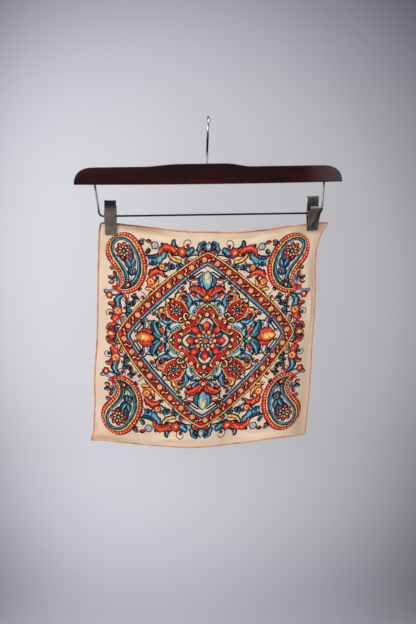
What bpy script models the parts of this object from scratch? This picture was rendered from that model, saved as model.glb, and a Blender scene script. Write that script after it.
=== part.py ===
"""A printed silk pocket square clipped on a wooden clip hanger.

The square hangs by two spring clips that ride on a bent wire under a lacquered wooden bar,
and the bar hangs by its steel hook. Metres, +Z up, +X along the bar, the square's front
towards -Y. The origin is the inside top of the hook, where a rail carries it.
"""
from collections import namedtuple
import math

import bmesh
import bpy
from mathutils import Euler, Matrix, Vector

MM = 0.001
GAP = 0.3 * MM                      # clearance between neighbouring pieces
OVER = 2.0 * MM                     # length by which a cutter stands out of what it cuts
CUTTER_SIDES = 16

# --- the square -------------------------------------------------------------------------
SQUARE = 300 * MM                   # side of the finished square
WALL = 1.0 * MM                     # cloth wall
HEM_WIDTH = 2.2 * MM                # rolled hem, across
HEM_THICKNESS = 1.9 * MM            # rolled hem, front to back
TOP_LEFT_X, TOP_LEFT_Z = -149.4 * MM, -134.8 * MM
TOP_RIGHT_X, TOP_RIGHT_Z = 148.8 * MM, -140.2 * MM
BOTTOM_LEFT_X, BOTTOM_LEFT_Z = -169.5 * MM, -436.5 * MM
BOTTOM_RIGHT_X, BOTTOM_RIGHT_Z = 129.7 * MM, -434.2 * MM
LEFT_SET_BACK = 2.0 * MM            # how far behind the wire its left side hangs
RIGHT_SET_BACK = 9.5 * MM           # and its right side, as that clip tips back

# How each edge leaves the straight line between its corners: share of its length, mm.
# The upper and lower ones hang in a shallow bow; the side ones waver a little.
TOP_EDGE = ((0.0, -0.5), (0.12, -3.7), (0.25, -7.9), (0.38, -12.0), (0.50, -13.2),
            (0.62, -13.2), (0.75, -9.8), (0.87, -4.4), (1.0, 0.0))
BOTTOM_EDGE = ((0.0, -1.5), (0.06, -2.3), (0.15, -6.3), (0.25, -11.4), (0.40, -14.6),
               (0.55, -15.0), (0.70, -12.5), (0.80, -7.0), (0.86, -4.8), (0.92, -4.8),
               (1.0, -4.2))
LEFT_EDGE = ((0.0, 0.3), (0.05, -1.0), (0.20, -1.0), (0.30, -0.3), (0.50, 0.7), (0.57, 0.8),
             (0.66, -0.3), (0.74, -0.3), (0.82, 1.2), (1.0, 1.5))
RIGHT_EDGE = ((0.0, 0.0), (0.18, 0.2), (0.24, 1.1), (0.30, 2.7), (0.42, 3.6), (0.58, 2.8),
              (0.64, 3.3), (0.80, 3.0), (0.90, 1.8), (1.0, 1.0))
CORNER_FLARE = 14.5 * MM            # the free upper right corner stands out to the side
FLARE_LENGTH = 42.0 * MM            # length down the edge over which that fades
FLARE_FALL = 1.6                    # how fast it fades
FLARE_POWER = 9                     # how closely it keeps to the edge
BELLY = 4.0 * MM                    # forward bow between the clips
BELLY_LOSS = 0.4                    # share of the bow that is gone at the lower edge
COLUMNS, ROWS = 36, 32              # faces across and down the panel
FRAME_STEP = 0.002                  # share of the square over which directions are read

# Soft upright folds. place_top and place_bottom: share of the width from the left.
# spread and depth: mm, depth > 0 towards the back. begins and full: share of the height.
Fold = namedtuple("Fold", "place_top place_bottom spread depth begins full")
FOLDS = (
    Fold(0.000, 0.000, 10.0, 4.0, 0.08, 0.55),      # left edge turns back
    Fold(0.125, 0.110, 20.0, -4.0, 0.12, 0.85),     # ridge under the left clip
    Fold(0.290, 0.270, 24.0, 3.6, 0.18, 0.95),
    Fold(0.460, 0.465, 28.0, -3.6, 0.10, 0.90),     # broad ridge down the middle
    Fold(0.640, 0.665, 22.0, 4.2, 0.22, 1.00),
    Fold(0.820, 0.840, 22.0, -5.0, 0.10, 0.75),     # ridge under the right clip
    Fold(1.000, 1.000, 15.0, 9.0, 0.05, 0.32),      # right edge curls back
)
DOG_EAR_REACH = 12.0 * MM           # small dog ear at the lower left corner
DOG_EAR_LIFT = 5.0 * MM             # how far it turns forward
DOG_EAR_RISE = 2.0 * MM             # and up

# --- the wooden bar ---------------------------------------------------------------------
BAR_LEFT, BAR_RIGHT = -182.2 * MM, 179.8 * MM
BAR_BOTTOM = -86.6 * MM
BAR_TOP = -60.0 * MM                # over the raised middle
LEFT_SHOULDER = -62.9 * MM          # over the left arm
RIGHT_SHOULDER = -64.4 * MM         # and over the right one
BAR_DEPTH = 12.0 * MM               # front to back
BAR_ROUNDING = 2.2 * MM
END_RUN = 27.0 * MM                 # length of the rounded ends
END_POWER = 2.4                     # fullness of their curve
LEFT_RISE = (-88.0 * MM, -42.0 * MM)    # from where to where the middle rises
RIGHT_FALL = (22.0 * MM, 58.0 * MM)
BAR_TURNS = 8                       # sections over each rise of the upper edge
END_ANGLES = (0, 16, 31, 45, 56, 65, 73, 79, 84, 88)    # sections round an end, degrees
CORNER_STEPS = 3
BORE_DEPTH = 9.0 * MM               # of the blind holes for the hook and the wire

# --- the hook ---------------------------------------------------------------------------
HOOK_WIRE = 1.5 * MM                # radius
HOOK_RADIUS = 18.5 * MM             # of the bend's centre line
HOOK_NECK = 9.0 * MM                # radius where the stem turns into the bend
HOOK_TIP = 0.0                      # degrees above level where the bend ends, at the back
HOOK_LEAN = 2.8                     # degrees that the stem's foot swings to the left
HOOK_SIDES = 10

# --- the wire under the bar ---------------------------------------------------------------
WIRE = 1.2 * MM                     # radius
WIRE_Z = -128.2 * MM                # level run that the clips ride on
WIRE_LEFT_TOP, WIRE_LEFT = -154.6 * MM, -149.9 * MM
WIRE_RIGHT_TOP, WIRE_RIGHT = 154.9 * MM, 152.3 * MM
WIRE_BEND = 4.0 * MM
WIRE_SIDES = 10

# --- the clips ----------------------------------------------------------------------------
PLATE = 1.0 * MM                    # sheet of the clip plates
LIP_Y = 0.5 * WALL + GAP            # inner face of a plate at the gripping lip
PIVOT_Y = 5.0 * MM                  # and level with the wire
EAR = 0.8 * MM                      # sheet of the side ears
EAR_SPAN = 13.0 * MM                # height of an ear where it leaves its plate
EAR_END = 6.4 * MM                  # and at its far side
EAR_REACH = 4.6 * MM                # past the wire
EAR_CUT = 1.4 * MM                  # its far corners are cut off
FRONT_EAR_INNER = 6.6 * MM          # inner face of the front plate's ears
BACK_EAR_INNER = FRONT_EAR_INNER + EAR + GAP    # the back plate's ears close round them
EASED = 0.15 * MM                   # bevel on a plate's edges
SPRING_RADIUS = 3.0 * MM            # centre line of the coil
SPRING_WIRE = 0.4 * MM
SPRING_PITCH = 1.3 * MM
SPRING_TURNS = 3.5
SPRING_STEPS = 42
SPRING_LEG = 9.0 * MM
SPRING_SIDES = 6

# Rows down a plate. height: from the wire; out: inner face from the clip's middle plane.
PlateRow = namedtuple("PlateRow", "height out half_width")
FRONT_PLATE = (
    PlateRow(14.0 * MM, 9.6 * MM, 8.1 * MM),
    PlateRow(0.0, PIVOT_Y, 8.3 * MM),
    PlateRow(-25.0 * MM, LIP_Y, 7.6 * MM),
)
BACK_PLATE = (
    PlateRow(20.4 * MM, 6.8 * MM, 7.8 * MM),
    PlateRow(0.0, PIVOT_Y, 8.5 * MM),
    PlateRow(-25.0 * MM, LIP_Y, 7.5 * MM),
)

# yaw turns a clip's face to the right, roll swings its lips to the left, and pitch swings
# its handles forward. Degrees.
Clip = namedtuple("Clip", "name x yaw roll pitch")
CLIPS = (
    Clip("clip_left", -134.4 * MM, 7.6, 0.5, 5.0),
    Clip("clip_right", 140.5 * MM, 11.0, -2.0, 24.0),
)
HOLD_HALF = 11.0 * MM               # half the stretch of cloth that a clip keeps flat
HOLD_FADE = 26.0 * MM               # over which the cloth leaves the clip's plane sideways
HOLD_BELOW = 3.0 * MM               # it stays flat this far under the lips
DROP_FADE = 52.0 * MM               # and leaves the plane over this length below that


# --- helpers --------------------------------------------------------------------------------
def blend(low, high, value):
    """Rise smoothly from 0 at low to 1 at high."""
    share = min(1.0, max(0.0, (value - low) / (high - low)))
    return share * share * (3.0 - 2.0 * share)


def mix(first, second, share):
    return first + (second - first) * share


def along_table(table, share):
    """A smooth curve through a table of (share, mm), level at both ends."""
    share = min(max(share, table[0][0]), table[-1][0])
    after = next(index for index in range(1, len(table)) if share <= table[index][0])
    slopes = []
    for index in (after - 1, after):
        if index in (0, len(table) - 1):
            slopes.append(0.0)
        else:
            before, ahead = table[index - 1], table[index + 1]
            slopes.append((ahead[1] - before[1]) / (ahead[0] - before[0]))
    (first, low), (second, high) = table[after - 1], table[after]
    run = second - first
    part = (share - first) / run
    rest = 1.0 - part
    value = rest * rest * (1.0 + 2.0 * part) * low + part * part * (1.0 + 2.0 * rest) * high
    value += part * rest * run * (rest * slopes[0] - part * slopes[1])
    return value * MM


def material(name, colour, roughness, metallic=0.0):
    """A plain Principled finish."""
    finish = bpy.data.materials.new(name)
    finish.use_nodes = True
    shader = finish.node_tree.nodes["Principled BSDF"]
    shader.inputs["Base Color"].default_value = (*colour, 1.0)
    shader.inputs["Roughness"].default_value = roughness
    shader.inputs["Metallic"].default_value = metallic
    finish.diffuse_color = (*colour, 1.0)
    return finish


def add_object(name, mesh, finish=None, parent=None):
    obj = bpy.data.objects.new(name, mesh)
    bpy.context.collection.objects.link(obj)
    if finish:
        mesh.materials.append(finish)
    obj.parent = parent
    return obj


def mesh_from(name, points, faces, smooth_angle=None):
    """A mesh with its faces turned outwards."""
    work = bmesh.new()
    corners = [work.verts.new(point) for point in points]
    for face in faces:
        work.faces.new([corners[index] for index in face])
    bmesh.ops.recalc_face_normals(work, faces=work.faces)
    mesh = bpy.data.meshes.new(name)
    work.to_mesh(mesh)
    work.free()
    if smooth_angle is not None:
        mesh.shade_smooth()
        mesh.set_sharp_from_angle(angle=math.radians(smooth_angle))
    return mesh


def ring_faces(rings, sides):
    """Faces of a tube of equal closed rings, with both ends closed."""
    faces = []
    for ring in range(rings - 1):
        for side in range(sides):
            following = (side + 1) % sides
            start, end = ring * sides, (ring + 1) * sides
            faces.append((start + side, start + following, end + following, end + side))
    faces.append(tuple(range(sides)))
    faces.append(tuple(range((rings - 1) * sides, rings * sides)))
    return faces


def tube(name, path, radius, sides, finish, parent=None):
    """A round wire along a path, each ring square to the path."""
    points = []
    tangent = (path[1] - path[0]).normalized()
    across = tangent.orthogonal().normalized()
    for index, centre in enumerate(path):
        before, after = path[max(0, index - 1)], path[min(len(path) - 1, index + 1)]
        tangent = (after - before).normalized()
        across = (across - tangent * across.dot(tangent)).normalized()
        up = tangent.cross(across)
        for side in range(sides):
            angle = math.tau * side / sides
            points.append(centre + radius * (math.cos(angle) * across + math.sin(angle) * up))
    mesh = mesh_from(name, points, ring_faces(len(path), sides), smooth_angle=50)
    return add_object(name, mesh, finish, parent)


def arc(centre, radius, start, end, steps):
    """Points on an arc in the plane of the first two of three axes; angles in degrees."""
    for step in range(steps + 1):
        angle = math.radians(mix(start, end, step / steps))
        yield centre[0] + radius * math.cos(angle), centre[1] + radius * math.sin(angle)


def guide(obj):
    """Keep a cutter out of the model's own pieces."""
    obj.hide_render = True
    obj.display_type = "WIRE"
    return obj


def combine(obj, tool, operation):
    modifier = obj.modifiers.new(tool.name, "BOOLEAN")
    modifier.operation = operation
    modifier.object = tool
    modifier.solver = "EXACT"


def rod_tool(name, start, end, radius):
    """A straight round cutter from start to end."""
    return guide(tube(name, [start, end], radius, CUTTER_SIDES, None))


# --- the square -------------------------------------------------------------------------------
def fold_depth(across, down):
    """Depth of all folds at a place on the square."""
    depth = mix(LEFT_SET_BACK, RIGHT_SET_BACK, across)
    depth -= BELLY * math.sin(math.pi * across) * (1.0 - BELLY_LOSS * down)
    for fold in FOLDS:
        place = mix(fold.place_top, fold.place_bottom, down)
        distance = (across - place) * SQUARE / (fold.spread * MM)
        strength = blend(fold.begins, fold.full, down)
        depth += fold.depth * MM * strength * math.exp(-distance * distance)
    return depth


def clip_turn(clip):
    return Euler([math.radians(angle) for angle in (clip.pitch, clip.roll, clip.yaw)])


def held_depth(x, z, depth):
    """Bring the cloth flat into the plane of each clip that grips it."""
    flat_end = WIRE_Z + FRONT_PLATE[-1].height - HOLD_BELOW
    for clip in CLIPS:
        aside = 1.0 - blend(HOLD_HALF, HOLD_HALF + HOLD_FADE, abs(x - clip.x))
        below = 1.0 - blend(0.0, DROP_FADE, flat_end - z)
        normal = clip_turn(clip).to_matrix() @ Vector((0, 1, 0))
        drop = max(z, flat_end) - WIRE_Z
        plane = -(normal.x * (x - clip.x) + normal.z * drop) / normal.y
        depth = mix(depth, plane, aside * below)
    return depth


def cloth_point(across, down):
    """The square's middle surface; across and down run from 0 to 1 over the whole square."""
    top = mix(TOP_LEFT_Z, TOP_RIGHT_Z, across) + along_table(TOP_EDGE, across)
    bottom = mix(BOTTOM_LEFT_Z, BOTTOM_RIGHT_Z, across) + along_table(BOTTOM_EDGE, across)
    z = mix(top, bottom, down)
    left = mix(TOP_LEFT_X, BOTTOM_LEFT_X, down) + along_table(LEFT_EDGE, down)
    right = mix(TOP_RIGHT_X, BOTTOM_RIGHT_X, down) + along_table(RIGHT_EDGE, down)
    kept = max(0.0, 1.0 - down * SQUARE / FLARE_LENGTH)
    flare = CORNER_FLARE * kept ** FLARE_FALL * across ** FLARE_POWER
    x = mix(left, right, across) + flare
    corner = math.hypot(across, 1.0 - down) * SQUARE
    dog_ear = 1.0 - blend(0.0, DOG_EAR_REACH, corner)
    y = held_depth(x, z, fold_depth(across, down)) - DOG_EAR_LIFT * dog_ear
    return Vector((x, y, z + DOG_EAR_RISE * dog_ear))


def cloth_frame(across, down):
    """Point, rightward and downward directions and the normal towards the back."""
    step = FRAME_STEP
    right = (cloth_point(across + step, down) - cloth_point(across - step, down)).normalized()
    along = (cloth_point(across, down + step) - cloth_point(across, down - step)).normalized()
    return cloth_point(across, down), right, along, right.cross(along).normalized()


def cloth_panel(finish):
    """The printed panel inside its hems, as a thin closed wall."""
    inset = (HEM_WIDTH + GAP) / SQUARE
    points = []
    for side in (-0.5, 0.5):
        for row in range(ROWS + 1):
            down = mix(inset, 1.0 - inset, row / ROWS)
            for column in range(COLUMNS + 1):
                across = mix(inset, 1.0 - inset, column / COLUMNS)
                point, _, _, back = cloth_frame(across, down)
                points.append(point + back * (side * WALL))
    stride = COLUMNS + 1
    layer = stride * (ROWS + 1)
    faces = []
    for row in range(ROWS):
        for column in range(COLUMNS):
            first = row * stride + column
            face = (first, first + 1, first + stride + 1, first + stride)
            faces.append(face)
            faces.append(tuple(index + layer for index in reversed(face)))
    rim = [column for column in range(COLUMNS)]
    rim += [row * stride + COLUMNS for row in range(ROWS)]
    rim += [ROWS * stride + column for column in range(COLUMNS, 0, -1)]
    rim += [row * stride for row in range(ROWS, 0, -1)]
    for index, first in enumerate(rim):
        second = rim[(index + 1) % len(rim)]
        faces.append((first, second, second + layer, first + layer))
    mesh = mesh_from("cloth_panel", points, faces, smooth_angle=60)
    add_object("cloth_panel", mesh, finish)


def hem(name, place, steps, finish):
    """A rolled hem: an eight-sided section swept along one edge, place(share) -> frame."""
    section = 8
    points = []
    for step in range(steps + 1):
        centre, inward, back = place(step / steps)
        for side in range(section):
            angle = math.tau * (side + 0.5) / section
            wide = 0.5 * HEM_WIDTH * math.cos(angle) / math.cos(math.pi / section)
            thick = 0.5 * HEM_THICKNESS * math.sin(angle) / math.cos(math.pi / section)
            points.append(centre + inward * wide + back * thick)
    mesh = mesh_from(name, points, ring_faces(steps + 1, section), smooth_angle=50)
    add_object(name, mesh, finish)


def hems(finish):
    """Four hems around the panel; the side ones end between the upper and lower ones."""
    middle = 0.5 * HEM_WIDTH / SQUARE
    side_end = (HEM_WIDTH + GAP) / SQUARE

    def upright(across):
        def place(share):
            down = mix(side_end, 1.0 - side_end, share)
            point, right, _, back = cloth_frame(across, down)
            return point, right, back
        return place

    def level(down):
        def place(share):
            point, _, along, back = cloth_frame(share, down)
            return point, along, back
        return place

    hem("hem_top", level(middle), COLUMNS, finish)
    hem("hem_bottom", level(1.0 - middle), COLUMNS, finish)
    hem("hem_left", upright(middle), ROWS, finish)
    hem("hem_right", upright(1.0 - middle), ROWS, finish)


# --- the wooden bar -----------------------------------------------------------------------------
def tip_distance(x):
    """How far a place on the bar is from the nearer tip."""
    return min(x - BAR_LEFT, BAR_RIGHT - x)


def bar_top(x):
    """Height of the bar's upper edge, rounded down to the bottom edge at both ends."""
    middle = blend(*LEFT_RISE, x) * (1.0 - blend(*RIGHT_FALL, x))
    top = mix(LEFT_SHOULDER if x < 0 else RIGHT_SHOULDER, BAR_TOP, middle)
    into_end = max(0.0, END_RUN - tip_distance(x)) / END_RUN
    fullness = max(0.0, 1.0 - into_end ** END_POWER) ** (1.0 / END_POWER)
    return mix(BAR_BOTTOM, top, fullness)


def bar_stations():
    """Places of the bar's sections, close together where its outline turns."""
    end = [END_RUN * (1.0 - math.sin(math.radians(angle))) for angle in END_ANGLES]
    left = [BAR_LEFT + run for run in reversed(end)]
    right = [BAR_RIGHT - run for run in end]
    rises = [mix(*LEFT_RISE, share / BAR_TURNS) for share in range(BAR_TURNS + 1)]
    falls = [mix(*RIGHT_FALL, share / BAR_TURNS) for share in range(BAR_TURNS + 1)]
    return left + rises + falls + right


def bar_section(x):
    """A rounded rectangle across the bar, its depth eased towards the tips."""
    from_tip = max(0.0, BAR_ROUNDING - tip_distance(x)) / BAR_ROUNDING
    half = 0.5 * BAR_DEPTH - BAR_ROUNDING * (1.0 - math.sqrt(1.0 - 0.9 * from_tip ** 2))
    top = bar_top(x)
    rounding = min(BAR_ROUNDING, 0.4 * (top - BAR_BOTTOM))
    corners = ((half, top, 0), (-half, top, 90), (-half, BAR_BOTTOM, 180),
               (half, BAR_BOTTOM, 270))
    for y, z, start in corners:
        centre_y = y - math.copysign(rounding, y)
        centre_z = z - rounding if z == top else z + rounding
        for point in arc((centre_y, centre_z), rounding, start, start + 90, CORNER_STEPS):
            yield x, *point


def hook_point(y, z):
    """A point of the hook's plane, which leans about the top of the bend."""
    return Matrix.Rotation(math.radians(HOOK_LEAN), 3, "Y") @ Vector((0, y, z))


def hanger_bar(finish):
    """Rounded sections lofted from tip to tip, with blind holes for the hook and the wire."""
    stations = bar_stations()
    points = [point for x in stations for point in bar_section(x)]
    sides = len(points) // len(stations)
    mesh = mesh_from("hanger_bar", points, ring_faces(len(stations), sides), smooth_angle=35)
    bar = add_object("hanger_bar", mesh, finish)
    holes = (
        ("hook hole", hook_point(0.0, BAR_TOP - BORE_DEPTH), hook_point(0.0, BAR_TOP + OVER),
         HOOK_WIRE + GAP),
        ("left wire hole", wire_top(WIRE_LEFT_TOP, WIRE_LEFT, BAR_BOTTOM + BORE_DEPTH),
         wire_top(WIRE_LEFT_TOP, WIRE_LEFT, BAR_BOTTOM - OVER), WIRE + GAP),
        ("right wire hole", wire_top(WIRE_RIGHT_TOP, WIRE_RIGHT, BAR_BOTTOM + BORE_DEPTH),
         wire_top(WIRE_RIGHT_TOP, WIRE_RIGHT, BAR_BOTTOM - OVER), WIRE + GAP),
    )
    for name, start, end, radius in holes:
        combine(bar, rod_tool(name, start, end, radius), "DIFFERENCE")


# --- the hook and the wire ------------------------------------------------------------------------
def hook(finish):
    """Stem, neck and round bend in one wire, in a plane across the bar."""
    centre_z = HOOK_WIRE - HOOK_RADIUS
    reach = HOOK_RADIUS + HOOK_NECK
    neck_z = centre_z - math.sqrt(reach ** 2 - HOOK_NECK ** 2)
    meeting = math.degrees(math.atan2(neck_z - centre_z, -HOOK_NECK))
    path = [hook_point(0.0, BAR_TOP - BORE_DEPTH + GAP), hook_point(0.0, BAR_TOP)]
    neck_end = meeting + 180.0
    neck = list(arc((-HOOK_NECK, neck_z), HOOK_NECK, 0.0, neck_end, 5))
    bend = list(arc((0.0, centre_z), HOOK_RADIUS, meeting, HOOK_TIP - 360.0, 36))
    path += [hook_point(y, z) for y, z in neck + bend[1:]]
    tube("hook", path, HOOK_WIRE, HOOK_SIDES, finish)


def wire_top(top_x, low_x, z):
    """A point of an upright wire run that leans from top_x at the bar to low_x."""
    share = (z - BAR_BOTTOM) / (WIRE_Z - BAR_BOTTOM)
    return Vector((mix(top_x, low_x, share), 0, z))


def corner(before, at, after, radius, steps=6):
    """Points that round a corner of a path."""
    back, ahead = (before - at).normalized(), (after - at).normalized()
    half = 0.5 * back.angle(ahead)
    run = radius / math.tan(half)
    middle = at + (back + ahead).normalized() * (radius / math.sin(half))
    start, end = at + back * run - middle, at + ahead * run - middle
    turn = start.rotation_difference(end)
    axis, angle = turn.to_axis_angle()
    return [middle + Matrix.Rotation(angle * step / steps, 3, axis) @ start
            for step in range(steps + 1)]


def wire_bar(finish):
    """The U-shaped wire: two upright runs into the bar and one level run between."""
    top = BAR_BOTTOM + BORE_DEPTH - GAP
    left, right = Vector((WIRE_LEFT, 0, WIRE_Z)), Vector((WIRE_RIGHT, 0, WIRE_Z))
    start = wire_top(WIRE_LEFT_TOP, WIRE_LEFT, top)
    end = wire_top(WIRE_RIGHT_TOP, WIRE_RIGHT, top)
    path = [start, *corner(start, left, right, WIRE_BEND)]
    path += [*corner(left, right, end, WIRE_BEND), end]
    tube("wire_bar", path, WIRE, WIRE_SIDES, finish)


# --- the clips --------------------------------------------------------------------------------------
def plate_slab(name, rows, front, finish, parent):
    """A bent plate; front is -1 for the front one and 1 for the back one."""
    points = []
    for row in rows:
        for out in (row.out, row.out + PLATE):
            for side in (-1, 1):
                points.append((side * row.half_width, front * out, row.height))
    order = (0, 1, 3, 2)
    rings = [points[4 * row + index] for row in range(len(rows)) for index in order]
    mesh = mesh_from(name, rings, ring_faces(len(rows), 4))
    return add_object(name, mesh, finish, parent)


def ear_tool(name, side, inner, front, parent):
    """One side ear, from inside its plate to just past the wire."""
    root = front * (PIVOT_Y + 0.5 * PLATE)
    end = -front * EAR_REACH
    tall, short = 0.5 * EAR_SPAN, 0.5 * EAR_END
    outline = [(root, tall), (0.0, 0.5 * (tall + short)), (end + front * EAR_CUT, short),
               (end, 0.5 * short), (end, -0.5 * short), (end + front * EAR_CUT, -short),
               (0.0, -0.5 * (tall + short)), (root, -tall)]
    points = [(side * x, y, z) for x in (inner, inner + EAR) for y, z in outline]
    mesh = mesh_from(name, points, ring_faces(2, len(outline)))
    return guide(add_object(name, mesh, None, parent))


def back_ear_outside(clip):
    """How far along the wire the outer ears of a turned clip reach."""
    return (BACK_EAR_INNER + EAR) / math.cos(math.radians(clip.yaw)) + EAR_REACH


def clip_plate(clip, part, rows, front, inner, finish, parent):
    """A plate with its two ears folded round the wire, and the wire's holes through them."""
    plate = plate_slab(f"{clip.name}_{part}", rows, front, finish, parent)
    for side in (-1, 1):
        combine(plate, ear_tool(f"{plate.name} ear {side}", side, inner, front, parent), "UNION")
    reach = Vector((back_ear_outside(clip) + OVER, 0, 0))
    centre = Vector((clip.x, 0, WIRE_Z))
    hole = rod_tool(f"{plate.name} hole", centre - reach, centre + reach, WIRE + GAP)
    combine(plate, hole, "DIFFERENCE")
    edges = plate.modifiers.new("eased edges", "BEVEL")
    edges.width = EASED
    edges.segments = 1
    edges.limit_method = "ANGLE"
    edges.angle_limit = math.radians(60)


def clip_spring(clip, finish, parent):
    """A torsion spring round the wire; each leg bears on one plate's handle."""
    def leg_end(rows):
        out = mix(rows[1].out, rows[0].out, SPRING_LEG / rows[0].height)
        return out - GAP - SPRING_WIRE

    length = SPRING_TURNS * SPRING_PITCH
    path = [Vector((-0.5 * length, -leg_end(FRONT_PLATE), SPRING_LEG))]
    for step in range(SPRING_STEPS + 1):
        share = step / SPRING_STEPS
        angle = math.pi + math.tau * SPRING_TURNS * share
        path.append(Vector((length * (share - 0.5), SPRING_RADIUS * math.cos(angle),
                            SPRING_RADIUS * math.sin(angle))))
    path.append(Vector((0.5 * length, leg_end(BACK_PLATE), SPRING_LEG)))
    tube(f"{clip.name}_spring", path, SPRING_WIRE, SPRING_SIDES, finish, parent)


def clip_assembly(clip, plate_finish, spring_finish):
    pivot = bpy.data.objects.new(f"{clip.name} pivot", None)
    bpy.context.collection.objects.link(pivot)
    pivot.location = (clip.x, 0, WIRE_Z)
    pivot.rotation_euler = clip_turn(clip)
    clip_plate(clip, "front", FRONT_PLATE, -1, FRONT_EAR_INNER, plate_finish, pivot)
    clip_plate(clip, "back", BACK_PLATE, 1, BACK_EAR_INNER, plate_finish, pivot)
    clip_spring(clip, spring_finish, pivot)


def build():
    for obj in list(bpy.data.objects):
        bpy.data.objects.remove(obj)
    silk = material("printed silk", (0.78, 0.55, 0.38), 0.55)
    edging = material("copper edging", (0.62, 0.24, 0.11), 0.5)
    lacquer = material("mahogany lacquer", (0.045, 0.010, 0.012), 0.28)
    chrome = material("bright steel", (0.55, 0.56, 0.58), 0.18, 1.0)
    clip_steel = material("brushed clip steel", (0.20, 0.18, 0.16), 0.42, 0.9)
    spring_steel = material("spring steel", (0.30, 0.29, 0.28), 0.35, 1.0)
    cloth_panel(silk)
    hems(edging)
    hanger_bar(lacquer)
    hook(chrome)
    wire_bar(chrome.copy())
    for clip in CLIPS:
        clip_assembly(clip, clip_steel.copy(), spring_steel.copy())


build()
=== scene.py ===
"""A printed silk pocket square held by two clips on a wooden hanger: print, folds, finishes, light.

Metres, +Z up, the square's front towards -Y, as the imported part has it.
"""
from collections import namedtuple
import math

import bmesh
import bpy
import numpy as np
from mathutils import Matrix, Vector
from mathutils.geometry import delaunay_2d_cdt


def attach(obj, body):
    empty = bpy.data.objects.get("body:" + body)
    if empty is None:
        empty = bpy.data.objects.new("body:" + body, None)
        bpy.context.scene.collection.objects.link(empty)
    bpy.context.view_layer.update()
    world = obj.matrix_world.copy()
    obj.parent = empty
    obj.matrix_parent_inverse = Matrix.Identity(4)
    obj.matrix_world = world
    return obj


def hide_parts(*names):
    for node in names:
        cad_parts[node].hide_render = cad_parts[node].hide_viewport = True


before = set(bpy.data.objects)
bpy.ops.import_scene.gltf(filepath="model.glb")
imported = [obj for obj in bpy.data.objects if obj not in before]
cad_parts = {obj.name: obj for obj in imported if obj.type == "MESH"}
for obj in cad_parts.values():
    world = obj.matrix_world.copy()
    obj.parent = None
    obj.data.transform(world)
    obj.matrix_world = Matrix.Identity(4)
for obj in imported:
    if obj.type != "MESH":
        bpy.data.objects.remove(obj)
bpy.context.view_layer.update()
MM = 0.001


# --- the square's form -------------------------------------------------------------------------
SQUARE = 300.0                      # mm, as are all sizes of the square and its print
TOP_LEFT, TOP_RIGHT = (-149.4, -134.8), (148.8, -140.2)
BOTTOM_LEFT, BOTTOM_RIGHT = (-169.5, -436.5), (129.7, -434.2)
LEFT_SET_BACK, RIGHT_SET_BACK = 2.0, 9.5
# How each edge leaves the straight line between its corners: share of its length, mm.
TOP_EDGE = ((0.0, -0.5), (0.12, -3.7), (0.25, -7.9), (0.38, -12.0), (0.50, -13.2),
            (0.62, -13.2), (0.75, -9.8), (0.87, -4.4), (1.0, 0.0))
BOTTOM_EDGE = ((0.0, -1.5), (0.06, -2.3), (0.15, -6.3), (0.25, -11.4), (0.40, -14.6),
               (0.55, -15.0), (0.70, -12.5), (0.80, -7.0), (0.86, -4.8), (0.92, -4.8),
               (1.0, -4.2))
LEFT_EDGE = ((0.0, 0.3), (0.05, -1.0), (0.20, -1.0), (0.30, -0.3), (0.50, 0.7), (0.57, 0.8),
             (0.66, -0.3), (0.74, -0.3), (0.82, 1.2), (1.0, 1.5))
RIGHT_EDGE = ((0.0, 0.0), (0.18, 0.2), (0.24, 1.1), (0.30, 2.7), (0.42, 3.6), (0.58, 2.8),
              (0.64, 3.3), (0.80, 3.0), (0.90, 1.8), (1.0, 1.0))
CORNER_FLARE, FLARE_LENGTH, FLARE_FALL, FLARE_POWER = 14.5, 42.0, 1.6, 9
BELLY, BELLY_LOSS = 4.0, 0.4
Fold = namedtuple("Fold", "place_top place_bottom spread depth begins full")
FOLDS = (
    Fold(0.000, 0.000, 10.0, 4.0, 0.08, 0.55),
    Fold(0.125, 0.110, 20.0, -4.0, 0.12, 0.85),
    Fold(0.290, 0.270, 24.0, 3.6, 0.18, 0.95),
    Fold(0.460, 0.465, 28.0, -3.6, 0.10, 0.90),
    Fold(0.640, 0.665, 22.0, 4.2, 0.22, 1.00),
    Fold(0.820, 0.840, 22.0, -5.0, 0.10, 0.75),
    Fold(1.000, 1.000, 15.0, 9.0, 0.05, 0.32),
)
DOG_EAR_REACH, DOG_EAR_LIFT, DOG_EAR_OUT, DOG_EAR_DROP = 15.0, 5.0, 3.2, 0.6
CORNER_BLUNT, BLUNT_REACH = 1.4, 4.0
HOLD_HALF, HOLD_FADE, FLAT_END, DROP_FADE, WIRE_Z = 11.0, 26.0, -156.2, 52.0, -128.2
Clip = namedtuple("Clip", "name x yaw roll pitch")
CLIPS = (Clip("clip_left", -134.4, 7.6, 0.5, 5.0), Clip("clip_right", 140.5, 11.0, -2.0, 24.0))

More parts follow.
